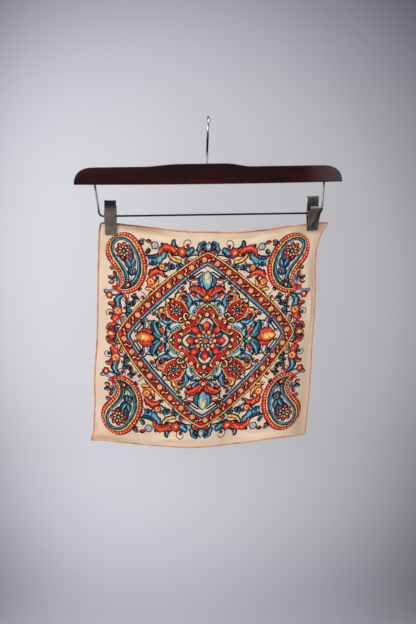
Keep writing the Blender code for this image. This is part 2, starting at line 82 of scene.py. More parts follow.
# Small soft creases in the silk: middle and half length on the flat square, heading in
# degrees, spread and depth in mm (depth > 0 towards the back), and how far they bow.
Crease = namedtuple("Crease", "x y half heading spread depth bow")
CREASES = (
    Crease(-128, 112, 40, 96, 4.0, -1.0, 3),
    Crease(-112, 100, 46, 88, 5.0, 0.9, -4),
    Crease(-92, 96, 42, 70, 5.5, -0.7, 5),
    Crease(-70, 118, 44, 22, 6.0, 0.8, 6),
    Crease(-20, 124, 60, 4, 6.0, -0.7, -5),
    Crease(62, 120, 46, -20, 6.0, 0.8, 5),
    Crease(104, 98, 44, 112, 5.0, 0.9, 5),
    Crease(124, 104, 40, 84, 4.0, -1.0, -3),
    Crease(131, 66, 76, 94, 4.0, 1.9, 3),
    Crease(142, 50, 92, 92, 3.4, -1.7, 3),
    Crease(-84, 140, 60, -2, 3.4, 1.5, 2),
    Crease(66, 141, 58, 3, 3.2, 2.0, -2),
    Crease(-137, 20, 90, 91, 4.0, 1.4, -3),
    Crease(-60, 10, 70, 84, 8.0, -0.6, 6),
    Crease(36, -10, 76, 95, 9.0, 0.6, -6),
    Crease(84, -40, 60, 82, 7.0, -0.6, 4),
    Crease(-24, -78, 60, 98, 8.0, 0.6, 4),
    Crease(-104, -84, 50, 80, 6.0, -0.8, -4),
    Crease(110, -98, 46, 101, 6.0, 0.8, 4),
    Crease(8, 60, 44, 12, 10.0, 0.4, 4),
    Crease(-46, -140, 60, 4, 4.0, -1.2, 3),
    Crease(84, -138, 50, -6, 4.0, 1.2, 3),
)
SHELL = 0.13                        # half the thickness of the silk


def mix(first, second, share):
    return first + (second - first) * share


def rise(low, high, value):
    """Smoothly from 0 at low to 1 at high."""
    share = np.clip((value - low) / (high - low), 0.0, 1.0)
    return share * share * (3.0 - 2.0 * share)


def unit(vectors):
    return vectors / np.linalg.norm(vectors, axis=-1, keepdims=True)


def along_table(table, share):
    """A smooth curve through a table, level at both ends."""
    place, value = np.array(table).T
    share = np.clip(share, place[0], place[-1])
    slope = np.zeros(len(place))
    slope[1:-1] = (value[2:] - value[:-2]) / (place[2:] - place[:-2])
    after = np.clip(np.searchsorted(place, share), 1, len(place) - 1)
    run = place[after] - place[after - 1]
    part = (share - place[after - 1]) / run
    rest = 1.0 - part
    low, high = value[after - 1], value[after]
    return (rest * rest * (1.0 + 2.0 * part) * low + part * part * (1.0 + 2.0 * rest) * high
            + part * rest * run * (rest * slope[after - 1] - part * slope[after]))


def clip_turn(clip):
    """How a clip is turned; the second column is the way its back faces."""
    pitch, roll, yaw = (math.radians(angle) for angle in (clip.pitch, clip.roll, clip.yaw))
    turn = Matrix.Rotation(yaw, 3, "Z") @ Matrix.Rotation(roll, 3, "Y") @ Matrix.Rotation(pitch, 3, "X")
    return np.array(turn)


def along_and_aside(x, y, mark):
    """Distances along and across the heading of a mark on the flat square."""
    turn = math.radians(mark.heading)
    x, y = x - mark.x, y - mark.y
    return x * math.cos(turn) + y * math.sin(turn), y * math.cos(turn) - x * math.sin(turn)


def crease_depth(x, y):
    depth = np.zeros_like(x)
    for crease in CREASES:
        along, aside = along_and_aside(x, y, crease)
        share = along / crease.half
        aside = aside - crease.bow * share * share + 0.8 * np.sin(along / 7.0 + crease.x)
        spread = crease.spread * (1.0 + 0.35 * np.sin(along / 19.0 + crease.y))
        strength = np.clip(1.0 - share * share, 0.0, None) ** 2
        depth += crease.depth * strength * np.exp(-(aside / spread) ** 2)
    return depth


def held_by(clip, x, z, depth):
    """The depth, drawn on to a clip's plane where the clip grips the cloth."""
    aside = 1.0 - rise(HOLD_HALF, HOLD_HALF + HOLD_FADE, np.abs(x - clip.x))
    below = 1.0 - rise(0.0, DROP_FADE, FLAT_END - z)
    normal = clip_turn(clip)[:, 1]
    drop = np.maximum(z, FLAT_END) - WIRE_Z
    return mix(depth, -(normal[0] * (x - clip.x) + normal[2] * drop) / normal[1], aside * below)


def cloth_points(across, down):
    """The middle surface in mm; across and down run from 0 to 1 over the whole square."""
    top = mix(TOP_LEFT[1], TOP_RIGHT[1], across) + along_table(TOP_EDGE, across)
    bottom = mix(BOTTOM_LEFT[1], BOTTOM_RIGHT[1], across) + along_table(BOTTOM_EDGE, across)
    left = mix(TOP_LEFT[0], BOTTOM_LEFT[0], down) + along_table(LEFT_EDGE, down)
    right = mix(TOP_RIGHT[0], BOTTOM_RIGHT[0], down) + along_table(RIGHT_EDGE, down)
    kept = np.clip(1.0 - down * SQUARE / FLARE_LENGTH, 0.0, None) ** FLARE_FALL
    x = mix(left, right, across) + CORNER_FLARE * kept * np.abs(across) ** FLARE_POWER
    z = mix(top, bottom, down)
    depth = mix(LEFT_SET_BACK, RIGHT_SET_BACK, across)
    depth = depth - BELLY * np.sin(math.pi * across) * (1.0 - BELLY_LOSS * down)
    for fold in FOLDS:
        distance = (across - mix(fold.place_top, fold.place_bottom, down)) * SQUARE / fold.spread
        depth = depth + fold.depth * rise(fold.begins, fold.full, down) * np.exp(-distance ** 2)
    depth = depth + crease_depth((across - 0.5) * SQUARE, (0.5 - down) * SQUARE)
    for clip in CLIPS:
        depth = held_by(clip, x, z, depth)
    dog_ear = 1.0 - rise(0.0, DOG_EAR_REACH, np.hypot(across, 1.0 - down) * SQUARE)
    blunt = CORNER_BLUNT * np.exp(-np.clip(across + down, 0.0, None) * SQUARE / BLUNT_REACH)
    return np.stack([x + blunt - DOG_EAR_OUT * dog_ear, depth - DOG_EAR_LIFT * dog_ear,
                     z - DOG_EAR_DROP * dog_ear - blunt], -1)


def cloth_frames(across, down):
    """Points, rightward and downward directions and normals towards the back."""
    step = 0.002
    right = unit(cloth_points(across + step, down) - cloth_points(across - step, down))
    along = unit(cloth_points(across, down + step) - cloth_points(across, down - step))
    return cloth_points(across, down), right, along, unit(np.cross(right, along))


# --- the print: curves and widths, in mm on the flat square -----------------------------------
COLOURS = {
    "cream": (233, 208, 183), "crimson": (202, 29, 34), "orange": (236, 96, 44), "gold": (246, 198, 114),
    "teal": (21, 70, 97), "sky": (98, 172, 204), "ink": (13, 15, 28), "wine": (112, 16, 26),
}
GROUND = COLOURS["cream"]
# A motif's colour and its light.
BLUE, RED, AMBER, PALE = ("teal", "sky"), ("crimson", "orange"), ("orange", "gold"), ("sky", "cream")
BRASS, GILT, MILK = ("gold", "orange"), ("gold", "cream"), ("cream", "sky")
SWAP = {"crimson": "teal", "orange": "sky", "teal": "crimson", "sky": "orange"}
INK_WIDTH = 1.0
SHADE = 2.2                         # how much wider the ink is on a shape's shaded side
QUARTERS = ((1, 1), (-1, 1), (-1, -1), (1, -1))


def leaf_width(t):
    return np.sin(np.pi * t ** 0.8) ** 0.85


def petal_width(t):
    return np.sin(np.pi * t ** 1.55) ** 0.8


def drop_width(t):
    head = 0.24
    round_part = np.sqrt(np.clip(1.0 - (1.0 - t / head) ** 2, 0.0, 1.0))
    tail = np.cos(0.5 * np.pi * np.clip((t - head) / (1.0 - head), 0.0, 1.0)) ** 0.9
    return np.where(t < head, round_part, tail)


def rounded_ends(t, head, tail, power=0.5):
    return np.clip(t / head, 0.0, 1.0) ** 0.5 * np.clip((1.0 - t) / tail, 0.0, 1.0) ** power


def vine_width(t):
    return rounded_ends(t, 0.06, 0.25, 0.6)


def horn_width(t):
    return (1.0 - 0.75 * t) * rounded_ends(t, 0.05, 0.05)


def path(length, turn=0.0, curl=1.0, steps=None, ease=1.0):
    """Centre line: its heading has turned by turn * t ** curl at share t of the length."""
    steps = steps or int(min(60, max(6, length / 2.2 + abs(turn) / 11.0)))
    t = np.linspace(0.0, 1.0, steps + 1) ** ease
    angle = np.radians(turn * (0.5 * (t[1:] + t[:-1])) ** curl)
    step = np.stack([np.cos(angle), np.sin(angle)], 1) * (np.diff(t) * length)[:, None]
    return t, np.vstack([[(0.0, 0.0)], np.cumsum(step, 0)])


def tangents(points):
    along = np.gradient(points, axis=0)
    return along / (np.linalg.norm(along, axis=1)[:, None] + 1e-12)


def normals(points):
    return tangents(points)[:, ::-1] * (-1, 1)


def band(points, low, high):
    """Polygon between two offsets of a centre line."""
    side = normals(points)
    return np.vstack([points + side * low[:, None], (points + side * high[:, None])[::-1]])


def distances(points):
    """Length of a line up to each of its points."""
    return np.concatenate([[0], np.cumsum(np.linalg.norm(np.diff(points, axis=0), axis=1))])


def heading(step):
    return math.degrees(math.atan2(step[1], step[0]))


def ring(angle, radius):
    return np.stack([np.cos(angle) * radius, np.sin(angle) * radius], 1)


def even_angles(count):
    return np.arange(count) / count * math.tau


# --- laying out: a shape is a colour and an outline, a motif a list of shapes -------------------
def place(motif, x=0.0, y=0.0, turn=0.0, swap=None):
    a = math.radians(turn)
    matrix = np.array([[math.cos(a), math.sin(a)], [-math.sin(a), math.cos(a)]])
    return [((swap or {}).get(colour, colour), points @ matrix + (x, y)) for colour, points in motif]


def both_sides(motif):
    """A motif and its mirror about the x axis."""
    return motif + [(colour, points * (1.0, -1.0)) for colour, points in motif]


def around(motif, count, start=0.0, distance=0.0, swap=None):
    made = []
    for index in range(count):
        turn = start + 360.0 * index / count
        a = math.radians(turn)
        spot = distance * math.cos(a), distance * math.sin(a)
        made += place(motif, *spot, turn, swap if index % 2 else None)
    return made


def mirrored(motif):
    """A motif in all four quarters of the square."""
    return [(colour, points * quarter) for quarter in QUARTERS for colour, points in motif]


def laid(*rows):
    """Motifs from rows of what to draw, its x, y and turn, then its own sizes and colours."""
    return [shape for draw, x, y, turn, *sizes in rows for shape in place(draw(*sizes), x, y, turn)]


# --- motifs, each grows along +x ---------------------------------------------------------------
def inked(line, width, profile, colour, ink=INK_WIDTH):
    """A stroke in one colour over a slightly larger one in ink."""
    t, points = line
    half = 0.5 * width * profile(t)
    shapes = [(colour, band(points, -half, half))]
    if ink:
        along = tangents(points)
        longer = np.vstack([points[0] - along[0] * ink, points, points[-1] + along[-1] * ink])
        shaded, lit = (np.concatenate([[0.5 * ink], half + grow, [0.5 * ink]])
                       for grow in (ink * SHADE, ink))
        shapes.insert(0, ("ink", band(longer, -shaded, lit)))
    return shapes


def blade(line, width, profile, colour, light, low, high, first=1):
    """An inked stroke with a light band from low to high across its half width."""
    t, points = line
    part = slice(first, -1)
    half = (0.5 * width * profile(t))[part]
    return inked(line, width, profile, colour) + [(light, band(points[part], low * half, high * half))]


def disc(radius, colour, centre=(0.0, 0.0), ink=INK_WIDTH, sides=None):
    outline = ring(even_angles(sides or int(max(8, min(48, 6 + radius * 2)))), 1.0)
    shapes = [(colour, outline * radius + centre)]
    if ink:
        shapes.insert(0, ("ink", outline * (radius + 1.2 * ink) + centre + np.array((0.3, -0.4)) * ink))
    return shapes


def leaf(length, width, turn, curl, colour, light):
    side = math.copysign(1.0, turn)
    return blade(path(length, turn, curl), width, leaf_width, colour, light, side * 0.12, side * 0.72)


def petal(length, width, turn, colour, light):
    line = path(length, turn)
    return blade(line, width, petal_width, colour, light, -0.5, 0.5, int(0.45 * len(line[0])))


def volute(length, turn, curl, width, colour, light, eye):
    """A scroll that winds up to a round eye."""
    line = path(length, turn, curl)
    side = math.copysign(1.0, turn)
    shapes = blade(line, width, horn_width, colour, light, side * 0.1, side * 0.8)
    return shapes + disc(0.42 * width, eye, line[1][-1])


def tendril(length, turn, eye="teal", size=1.5):
    """A thin ink curl that ends in a berry."""
    line = path(length, turn, 1.8)
    return inked(line, 1.15, vine_width, "ink", ink=0) + disc(size, eye, line[1][-1])


def blossom(radius, outer, light, inner):
    petals = 8
    shapes = around(petal(0.62 * radius, 1.9 * radius / petals * 1.35, 0, outer, light),
                    petals, 0.0, 0.38 * radius)
    shapes += around(petal(0.42 * radius, 1.5 * radius / petals, 0, inner, "cream"),
                     petals, 180.0 / petals, 0.2 * radius)
    return shapes + disc(0.24 * radius, "teal") + disc(0.1 * radius, "gold", ink=0)


def tulip(length, colour, light, calyx, calyx_light):
    """A pointed flower between two pairs of curved petals, on a calyx."""
    side_petal = petal(0.78 * length, 0.34 * length, -42, colour, light)
    sepal = leaf(0.42 * length, 0.13 * length, 40, 1.0, calyx, calyx_light)
    shapes = both_sides(place(leaf(0.80 * length, 0.26 * length, 70, 1.5, calyx, calyx_light), turn=38))
    shapes += both_sides(place(side_petal, 0.14 * length, 0, 34))
    shapes += place(petal(0.84 * length, 0.36 * length, 0, light, "gold"), 0.16 * length)
    shapes += both_sides(place(sepal, 0.02 * length, 0, 16))
    return shapes + disc(0.07 * length, "gold")


def leaf_pair(size, spot, turn, lean, colour, light):
    """Two leaves that part from a stem."""
    return [shape for way in (1, -1) for shape in place(
        leaf(size, 0.42 * size, -30.0 * way, 1.0, colour, light), *spot, turn + lean * way)]


def sprig(length, turn, pairs, leaf_size, colour, light, fruit):
    """A thin stem with leaf pairs and a berry at its end."""
    t, points = path(length, turn)
    shapes = inked((t, points), 1.1, vine_width, "ink", ink=0)
    for share in 0.18 + 0.64 * np.arange(pairs) / (pairs - 1):
        at = int(share * (len(t) - 1))
        way = heading(points[at + 1] - points[at])
        shapes += leaf_pair(leaf_size * (1.0 - 0.45 * share), points[at], way, 48.0, colour, light)
    return shapes + disc(0.24 * leaf_size, fruit, points[-1])


# Colour, share of the width, and steps left out at the head and at the tail.
PAISLEY_FIELDS = (
    ("ink", 1.05, 0, 0), ("crimson", 1.0, 0, 0), ("ink", 0.795, 6, 4),
    ("gold", 0.77, 8, 5), ("ink", 0.70, 9, 6), ("teal", 0.675, 10, 8),
    ("sky", 0.57, 13, 12), ("ink", 0.535, 14, 14), ("cream", 0.505, 16, 17),
)
BEAD_LINE, BEAD_STEP, BEAD = (0.895, 4, 3), 4.0, 0.95
PAISLEY_STEPS, STEM_STEPS = 78, slice(24, 65)
# Where each leaf pair springs from the stem, its size as shares of the length, and its lean.
PAISLEY_LEAVES = ((0.40, 0.19, 42), (0.50, 0.15, 38), (0.60, 0.11, 34))


def paisley(length, width, turn):
    """Nested drops with a curled tail, a beaded rim and a small spray inside."""
    t, points = path(length, turn, 2.4, PAISLEY_STEPS, 1.5)
    run = distances(points)

    def field(scale, head, tail):
        part = slice(head, PAISLEY_STEPS + 1 - tail)
        share = (t[part] - t[part][0]) / (t[part][-1] - t[part][0])
        half = 0.5 * width * scale * drop_width(share)
        return band(points[part], -half, half)

    def spot(share):
        k = int(np.searchsorted(run, share * length))
        middle = [np.interp(share * length, run, axis) for axis in points.T]
        return middle, heading(points[k + 1] - points[k - 1])

    shapes = [(colour, field(*size)) for colour, *size in PAISLEY_FIELDS]
    edge = np.vstack([side[::-1] for side in np.split(field(*BEAD_LINE), 2)])
    walk = distances(edge)
    for distance in np.arange(7.0, walk[-1] - 6.0, BEAD_STEP):
        shapes += disc(BEAD, "gold", [np.interp(distance, walk, axis) for axis in edge.T], ink=0, sides=8)
    for share, size, lean in PAISLEY_LEAVES:
        middle, way = spot(share)
        shapes += leaf_pair(size * length, middle, way + 180, lean, *BLUE)
    stem = points[STEM_STEPS]
    half = np.full(len(stem), 0.45)
    shapes.append(("ink", band(stem, -half, half)))
    flowers = ((0.245, blossom(0.24 * width, *RED, "gold")), (0.68, tulip(0.1 * length, *RED, *BLUE)))
    for share, motif in flowers:
        middle, way = spot(share)
        shapes += place(motif, *middle, way)
    return shapes


def lobed(radius, petals, depth, ink=0.0):
    """Outline of a round flower with soft petals."""
    angle = even_angles(petals * 6)
    return ring(angle, radius * (1.0 - depth + depth * np.abs(np.cos(0.5 * petals * angle))) + ink)


def floret(radius, petals, colour, light, heart):
    """A small flower from a few outlines."""
    return [("ink", lobed(radius, petals, 0.25, 1.2 * INK_WIDTH)), (colour, lobed(radius, petals, 0.3)),
            (light, lobed(0.66 * radius, petals, 0.42)), (heart, lobed(0.3 * radius, 3, 0.1))]


def plume(length, turn, curl, width, lobes, colour, light):
    """A broad curling leaf, lobed along its outer side, with a lit inner blade."""
    t, points = path(length, turn, curl, lobes * 5)
    body = 0.5 * width * np.sin(np.pi * t ** 0.72) ** 0.8
    lobe = 0.62 + 0.38 * np.abs(np.sin(np.pi * (lobes * t + 0.15 * np.sin(math.tau * t)))) ** 0.7
    outer, inner = body * lobe * 1.25, body * 0.45
    low, high, lit_low, lit_high = -inner, outer, 0.12 * outer, 0.70 * outer
    if turn >= 0:
        low, high, lit_low, lit_high = -high, -low, -lit_high, -lit_low
    part = slice(2, -2)
    vein = 0.15 + 0.45 * np.sin(np.pi * t[2:-1])
    return [("ink", band(points, low - SHADE * INK_WIDTH, high + INK_WIDTH)),
            (colour, band(points, low, high)),
            (light, band(points[part], lit_low[part], lit_high[part])),
            ("ink", band(points[2:-1], -vein, 0.3 * vein))]


def cartouche(length, width, ground):
    """A pointed leaf-shaped field with a gold rim, for motifs to lie on."""
    t = np.linspace(0.0, 1.0, 26)
    shapes = []
    for colour, grow in (("ink", 2.2), ("gold", 1.6), ("ink", 0.35), (ground, 0.0)):
        half = (0.5 * width + grow) * np.sin(np.pi * t ** 1.25) ** 0.75
        shapes.append((colour, band(np.stack([-grow + t * (length + 2 * grow), 0 * t], 1), -half, half)))
    return shapes


# --- the design: a lozenge band, a centre, groups round it, corners and edges -------------------
FRAME_REACH, FRAME_POWER, FRAME_MIDDLE, FRAME_STEPS, FRAME_MOTIFS = 121.0, 1.22, 7.6, 2880, 64
# Each field's colour and how far its outline lies inside the frame's, or its size.
FRAME_FIELDS = (("ink", -1.7), ("gold", -0.5), ("ink", 1.0), ("crimson", 2.0), ("ink", 13.0),
                ("sky", 14.1), ("teal", 15.8), ("ink", 17.4), ("cream", 18.5))
CENTRE_FIELDS = (("ink", 43.8), ("gold", 42.4), ("ink", 41.0), ("crimson", 40.0), ("ink", 31.7),
                 ("gold", 30.6), ("ink", 29.6), ("teal", 28.6), ("ink", 27.0), ("cream", 25.9))


def frame_radius(angle, inset):
    power = np.abs(np.cos(angle)) ** FRAME_POWER + np.abs(np.sin(angle)) ** FRAME_POWER
    return FRAME_REACH * power ** (-1.0 / FRAME_POWER) - inset


def quatrefoil(angle, size):
    return size * (1.0 + 0.17 * np.cos(4 * angle) + 0.04 * np.cos(8 * angle))


def nested(fields, radius, sides):
    angle = even_angles(sides)
    return [(colour, ring(angle, radius(angle, size))) for colour, size in fields]


def lozenge_band():
    """The frame with florets and leaf pairs in turn on a ground of dark leaves."""
    angle = np.linspace(0, math.tau, FRAME_STEPS + 1)
    points = ring(angle, frame_radius(angle, FRAME_MIDDLE))
    run = distances(points)
    dark = inked(path(6.6, -70), 2.4, leaf_width, "wine", ink=0)
    shapes = nested(FRAME_FIELDS, frame_radius, 200)
    for index in range(FRAME_MOTIFS):
        k = int(np.searchsorted(run, run[-1] * (index + 0.5) / FRAME_MOTIFS))
        turn = heading(points[min(k + 1, FRAME_STEPS)] - points[k - 1])
        for way in (48, 132, 228, 312):
            shapes += place(dark, *points[k], turn + way)
        if index % 2:
            for way in (20, 200):
                shapes += place(leaf(6.0, 1.9, 80, 1.0, *BRASS), *points[k], turn + way)
        else:
            shapes += place(floret(3.7, 6, *BRASS, "cream"), *points[k], turn)
    return shapes


def centre():
    shapes = nested(CENTRE_FIELDS, quatrefoil, 120)
    dark = place(inked(path(7, 90), 2.6, leaf_width, "wine", ink=0), -3.5, -1)
    for start in (7.5, 22.5):
        shapes += around(dark, 12, start, 36.4)
    shapes += around(floret(2.9, 5, *GILT, "orange"), 12, 0, 36.2)
    shapes += around(place(leaf(7.0, 2.8, 40, 1.0, *GILT), -3.5, -0.6), 12, 15, 36.0)
    shapes += around(leaf(12, 6, 0, 1, *BLUE), 8, 22.5, 13.0)
    shapes += around(place(tulip(8.5, *GILT, *GILT), -4), 4, 0, 45.5)
    shapes += around(petal(15, 9.5, 0, *RED), 8, 0.0, 12.0)
    shapes += around(petal(9.5, 6.5, 0, *AMBER), 10, 0.0, 6.0)
    shapes += around(petal(6.5, 3.8, 0, *PALE), 10, 18.0, 3.0)
    stamens = around(disc(0.5, "gold", ink=0), 6, 0, 2.4)
    return shapes + disc(3.6, "crimson") + stamens + disc(1.0, "gold", ink=0)


def axis_group():
    """A tall flower on each axis between curling leaves."""
    return both_sides(laid(
        (plume, 52, 3, 22, 30, 150, 1.5, 11, 5, *BLUE),
        (volute, 50, 1, 70, 38, 340, 2.0, 4.2, "cream", "gold", "crimson"),
        (plume, 58, 6, 62, 20, -160, 1.4, 8, 4, *RED),
        (sprig, 74, 5, 28, 26, 58, 4, 6.0, *BLUE, "orange"),
        (volute, 93, 4, 118, 46, 250, 2.4, 3.8, *MILK, "crimson"),
        (plume, 84, 11, 110, 20, -120, 1.5, 8, 4, *PALE),
        (tendril, 70, 12, 50, 26, 330),
        (tendril, 86, 18, 150, 18, -300, "crimson"),
    )) + place(tulip(36, *RED, *BLUE), 60)


def diagonal_group():
    """A leaf-shaped field on each diagonal with a blossom, under scrolls and leaves."""
    return both_sides(laid(
        (volute, 46, 7, 88, 56, -380, 2.0, 4.8, *MILK, "orange"),
        (plume, 40, 10, 58, 32, 160, 1.6, 11, 5, *PALE),
        (plume, 52, 13, 70, 24, -140, 1.5, 9, 4, *BLUE),
        (sprig, 58, 16, 52, 24, -40, 3, 5.6, *RED, "gold"),
        (tendril, 66, 12, 96, 30, -340, "crimson"),
        (tendril, 48, 20, 60, 22, 320),
        (plume, 68, 10, 60, 17, 110, 1.5, 7, 4, *AMBER),
        (floret, 74, 22, 0, 2.6, 5, *PALE, "crimson"),
    )) + place(cartouche(44, 25, "crimson"), 33) + place(
        both_sides(volute(19, 300, 2.0, 2.4, *GILT, "orange")), 39) + laid(
        (blossom, 59, 0, 0, 8.6, *AMBER, "sky"),
        (tulip, 68, 0, 0, 11, *GILT, *AMBER),
    )


def corner():
    """The right upper corner: one large drop with its tail swung down."""
    return laid(
        (plume, 92, 110, 196, 48, -150, 1.7, 15, 7, *BLUE),
        (plume, 120, 82, 262, 40, 140, 1.7, 13, 6, *PALE),
        (volute, 98, 90, 166, 50, -380, 2.0, 4.6, *MILK, "crimson"),
        (volute, 84, 66, 172, 34, 380, 2.0, 3.6, *BRASS, "teal"),
        (tendril, 90, 62, 210, 34, 330, "crimson"),
        (tendril, 82, 100, 200, 30, -340),
        (tendril, 108, 58, 250, 26, 300, "orange"),
        (paisley, 131.5, 131.5, 225, 98, 48, 172),
        (plume, 78, 82, 122, 24, 130, 1.5, 10, 5, *RED),
        (plume, 82, 74, 196, 20, -120, 1.5, 8, 4, *AMBER),
        (floret, 77, 77, 0, 5.6, 7, *AMBER, "crimson"),
    )


def long_edge():
    """From the middle of the upper side to the right."""
    return laid(
        (volute, 4, 120, 8, 74, -430, 2.1, 5.4, *MILK, "crimson"),
        (plume, 20, 128, -36, 38, 150, 1.6, 13, 6, *BLUE),
        (tendril, 26, 122, 30, 34, 330, "crimson"),
        (tendril, 50, 110, -50, 30, -330),
        (volute, 36, 108, 6, 48, 400, 2.0, 4.2, *BRASS, "teal"),
        (plume, 44, 118, 40, 30, -150, 1.6, 11, 5, *RED),
        (plume, 50, 106, -56, 24, 130, 1.6, 9, 5, *PALE),
        (sprig, 28, 104, -26, 30, 46, 4, 6.5, *BLUE, "crimson"),
        (floret, 36, 121, 0, 6.6, 7, *RED, "gold"),
        (floret, 73, 126, 0, 4.8, 6, *PALE, "orange"),
        (floret, 62, 98, 0, 4.6, 6, *AMBER, "teal"),
    )


def short_edge():
    """From the middle of the right side upwards."""
    return laid(
        (volute, 122, 4, 82, 56, 400, 2.1, 4.8, *MILK, "orange"),
        (plume, 129, 18, 130, 32, -150, 1.6, 12, 6, *RED),
        (tendril, 124, 26, 60, 28, -330),
        (tendril, 110, 30, 150, 26, 330, "crimson"),
        (plume, 116, 36, 50, 22, 130, 1.5, 9, 5, *BLUE),
        (sprig, 108, 22, 112, 28, -50, 4, 6.5, *BLUE, "crimson"),
        (floret, 121, 32, 0, 6.0, 7, *AMBER, "crimson"),
        (floret, 133, 52, 0, 4.4, 6, *RED, "gold"),
    )


def side_crest():
    return both_sides(laid(
        (plume, 116, 2, 60, 26, -140, 1.5, 10, 5, *RED),
        (tendril, 124, 4, 80, 22, -320, "orange"),
        (volute, 121, 0, 66, 24, 330, 1.9, 3.0, *BRASS, "crimson"),
    )) + place(tulip(18, *RED, *BLUE), 117)


def inside(points, outline):
    """Which points lie in an outline, by its winding."""
    found = np.zeros(len(points), bool)
    x0, y0 = outline.T
    x1, y1 = np.roll(x0, -1), np.roll(y0, -1)
    for first in range(0, len(points), 8192):
        x, y = points[first:first + 8192, 0, None], points[first:first + 8192, 1, None]
        left = (x1 - x0) * (y - y0) - (x - x0) * (y1 - y0)
        up = (y0 <= y) & (y1 > y) & (left > 0)
        down = (y0 > y) & (y1 <= y) & (left < 0)
        found[first:first + 8192] = up.sum(1) != down.sum(1)
    return found


def top_colours(points, shapes):
    """Number of the colour that lies on top at each point; later shapes cover earlier ones."""
    order = np.argsort(points[:, 0])
    ordered = points[order]
    colour = np.zeros(len(points), int)
    names = list(COLOURS)
    for name, outline in shapes:
        low, high = outline.min(0), outline.max(0)
        first, last = np.searchsorted(ordered[:, 0], (low[0], high[0]))
        near = np.arange(first, last)
        near = near[(ordered[first:last, 1] >= low[1]) & (ordered[first:last, 1] <= high[1])]
        colour[order[near[inside(ordered[near], outline)]]] = names.index(name)
    return colour


FILL_STEP, FILL_REACH, FILL_SHAKE = 7.4, 132.0, 2.22


def fillers(shapes):
    """Curls, leaves and dots where the ground is open, sized to the room there."""
    count = int(FILL_REACH / FILL_STEP) + 1
    spots = np.array([(FILL_STEP * column + FILL_SHAKE * math.sin(3.1 * row + 1.7 * column),
                       FILL_STEP * (row + 0.5 * (column % 2)) + FILL_SHAKE * math.cos(2.3 * column - row))
                      for column in range(count) for row in range(count)]) + 1.5
    spots = spots[spots.max(1) < FILL_REACH]
    spots = spots[top_colours(spots, shapes) == 0]
    edges = np.vstack([outline for _, outline in shapes])
    made = []
    for index, spot in enumerate(spots):
        room = min(np.sqrt(((edges - spot) ** 2).sum(1).min()), 0.55 * FILL_STEP)
        turn = 137.5 * index
        tone = (BLUE, RED, BLUE, AMBER)[index % 4]
        if room > 3.2 and index % 3:
            made += place(tendril(4.4 * room, 330 - 660 * (index % 2), tone[0], 1.2), *spot, turn)
            made += place(leaf(1.6 * room, 0.7 * room, 50, 1.0, *tone), *spot, turn + 120)
        elif room > 1.7:
            made += place(leaf(1.9 * room, 0.8 * room, 60, 1.0, *tone), *spot, turn)
        elif room > 1.0:
            made += disc(0.8, ("ink", "teal", "crimson")[index % 3], spot, ink=0, sides=7)
    return mirrored(made)


def artwork():
    shapes = mirrored(corner() + long_edge() + short_edge())
    shapes += around(side_crest(), 4, swap=SWAP) + lozenge_band()
    shapes += around(axis_group(), 4, swap=SWAP) + around(diagonal_group(), 4, 45.0) + centre()
    return shapes + fillers(shapes)


# --- meshes -----------------------------------------------------------------------------------
def link(obj):
    bpy.context.scene.collection.objects.link(obj)
    return obj


def mesh_object(name, points, faces, finish):
    """A smooth mesh from points in mm."""
    mesh = bpy.data.meshes.new(name)
    mesh.from_pydata((np.asarray(points) * MM).tolist(), [], faces)
    mesh.materials.append(finish)
    mesh.shade_smooth()
    return link(bpy.data.objects.new(name, mesh))


def piece(name, points, faces, finish, slot, node=None):
    """A mesh that rides on the body, and stands for one of its plain solids if a node is named."""
    obj = mesh_object(name, points, faces, finish)
    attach(obj, "root")
    if node:
        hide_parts(node)
    return obj


def store(layers, name, kind, domain, field, values):
    """A named value for each point or corner of a mesh."""
    layers.new(name, kind, domain).data.foreach_set(field, np.ravel(values).astype(np.float32))


def arc(first, last, count, radius):
    """Points round a centre, from one angle to another in degrees."""
    return ring(np.radians(np.linspace(first, last, count)), radius)


def swept(line, sections):
    """Points and faces of a closed tube: a line (n, 3) with an outline (sides, 3) round each point."""
    rings, sides = sections.shape[:2]
    index = np.arange(rings * sides).reshape(rings, sides)
    after = np.roll(index, -1, 1)
    walls = np.stack([index[:-1], after[:-1], after[1:], index[1:]], -1).reshape(-1, 4)
    points = (line[:, None] + sections).reshape(-1, 3)
    return points, [*walls.tolist(), index[0, ::-1].tolist(), index[-1].tolist()]


DOME_ANGLES = (12, 30, 50, 70)
ASKEW = (0.3, 0.8, 0.52)            # a direction no wire runs in


def tube(line, radius, sides=20, domed=True):
    """A round wire along a line (n, 3) in mm, its ends rounded."""
    line = np.asarray(line, float)
    radii = np.full(len(line), radius)
    if domed:
        width, reach = ring(np.radians(DOME_ANGLES), radius).T
        start, end = unit(line[0] - line[1]), unit(line[-1] - line[-2])
        line = np.vstack([line[0] + np.outer(reach[::-1], start), line, line[-1] + np.outer(reach, end)])
        radii = np.concatenate([width[::-1], radii, width])
    across = np.cross(unit(line[1] - line[0]), ASKEW)
    circle = ring(even_angles(sides), 1.0)
    sections = []
    for direction, size in zip(unit(np.gradient(line, axis=0)), radii):
        across = unit(across - direction * across.dot(direction))
        sections.append(size * circle @ np.array((across, np.cross(direction, across))))
    return swept(line, np.array(sections))


def joined(parts):
    """Several (points, faces) as one."""
    points, faces, start = [], [], 0
    for part_points, part_faces in parts:
        points.append(part_points)
        faces += [[index + start for index in face] for face in part_faces]
        start += len(part_points)
    return np.vstack(points), faces


# --- finishes ---------------------------------------------------------------------------------
def linear(colour):
    """Linear values of an 8-bit colour."""
    share = np.asarray(colour, float) / 255.0
    return np.where(share <= 0.04045, share / 12.92, ((share + 0.055) / 1.055) ** 2.4)


def rgba(colour):
    """A colour 0-255 or a grey value, as linear values with alpha."""
    return (*(linear(colour) if isinstance(colour, tuple) else (colour,) * 3), 1.0)


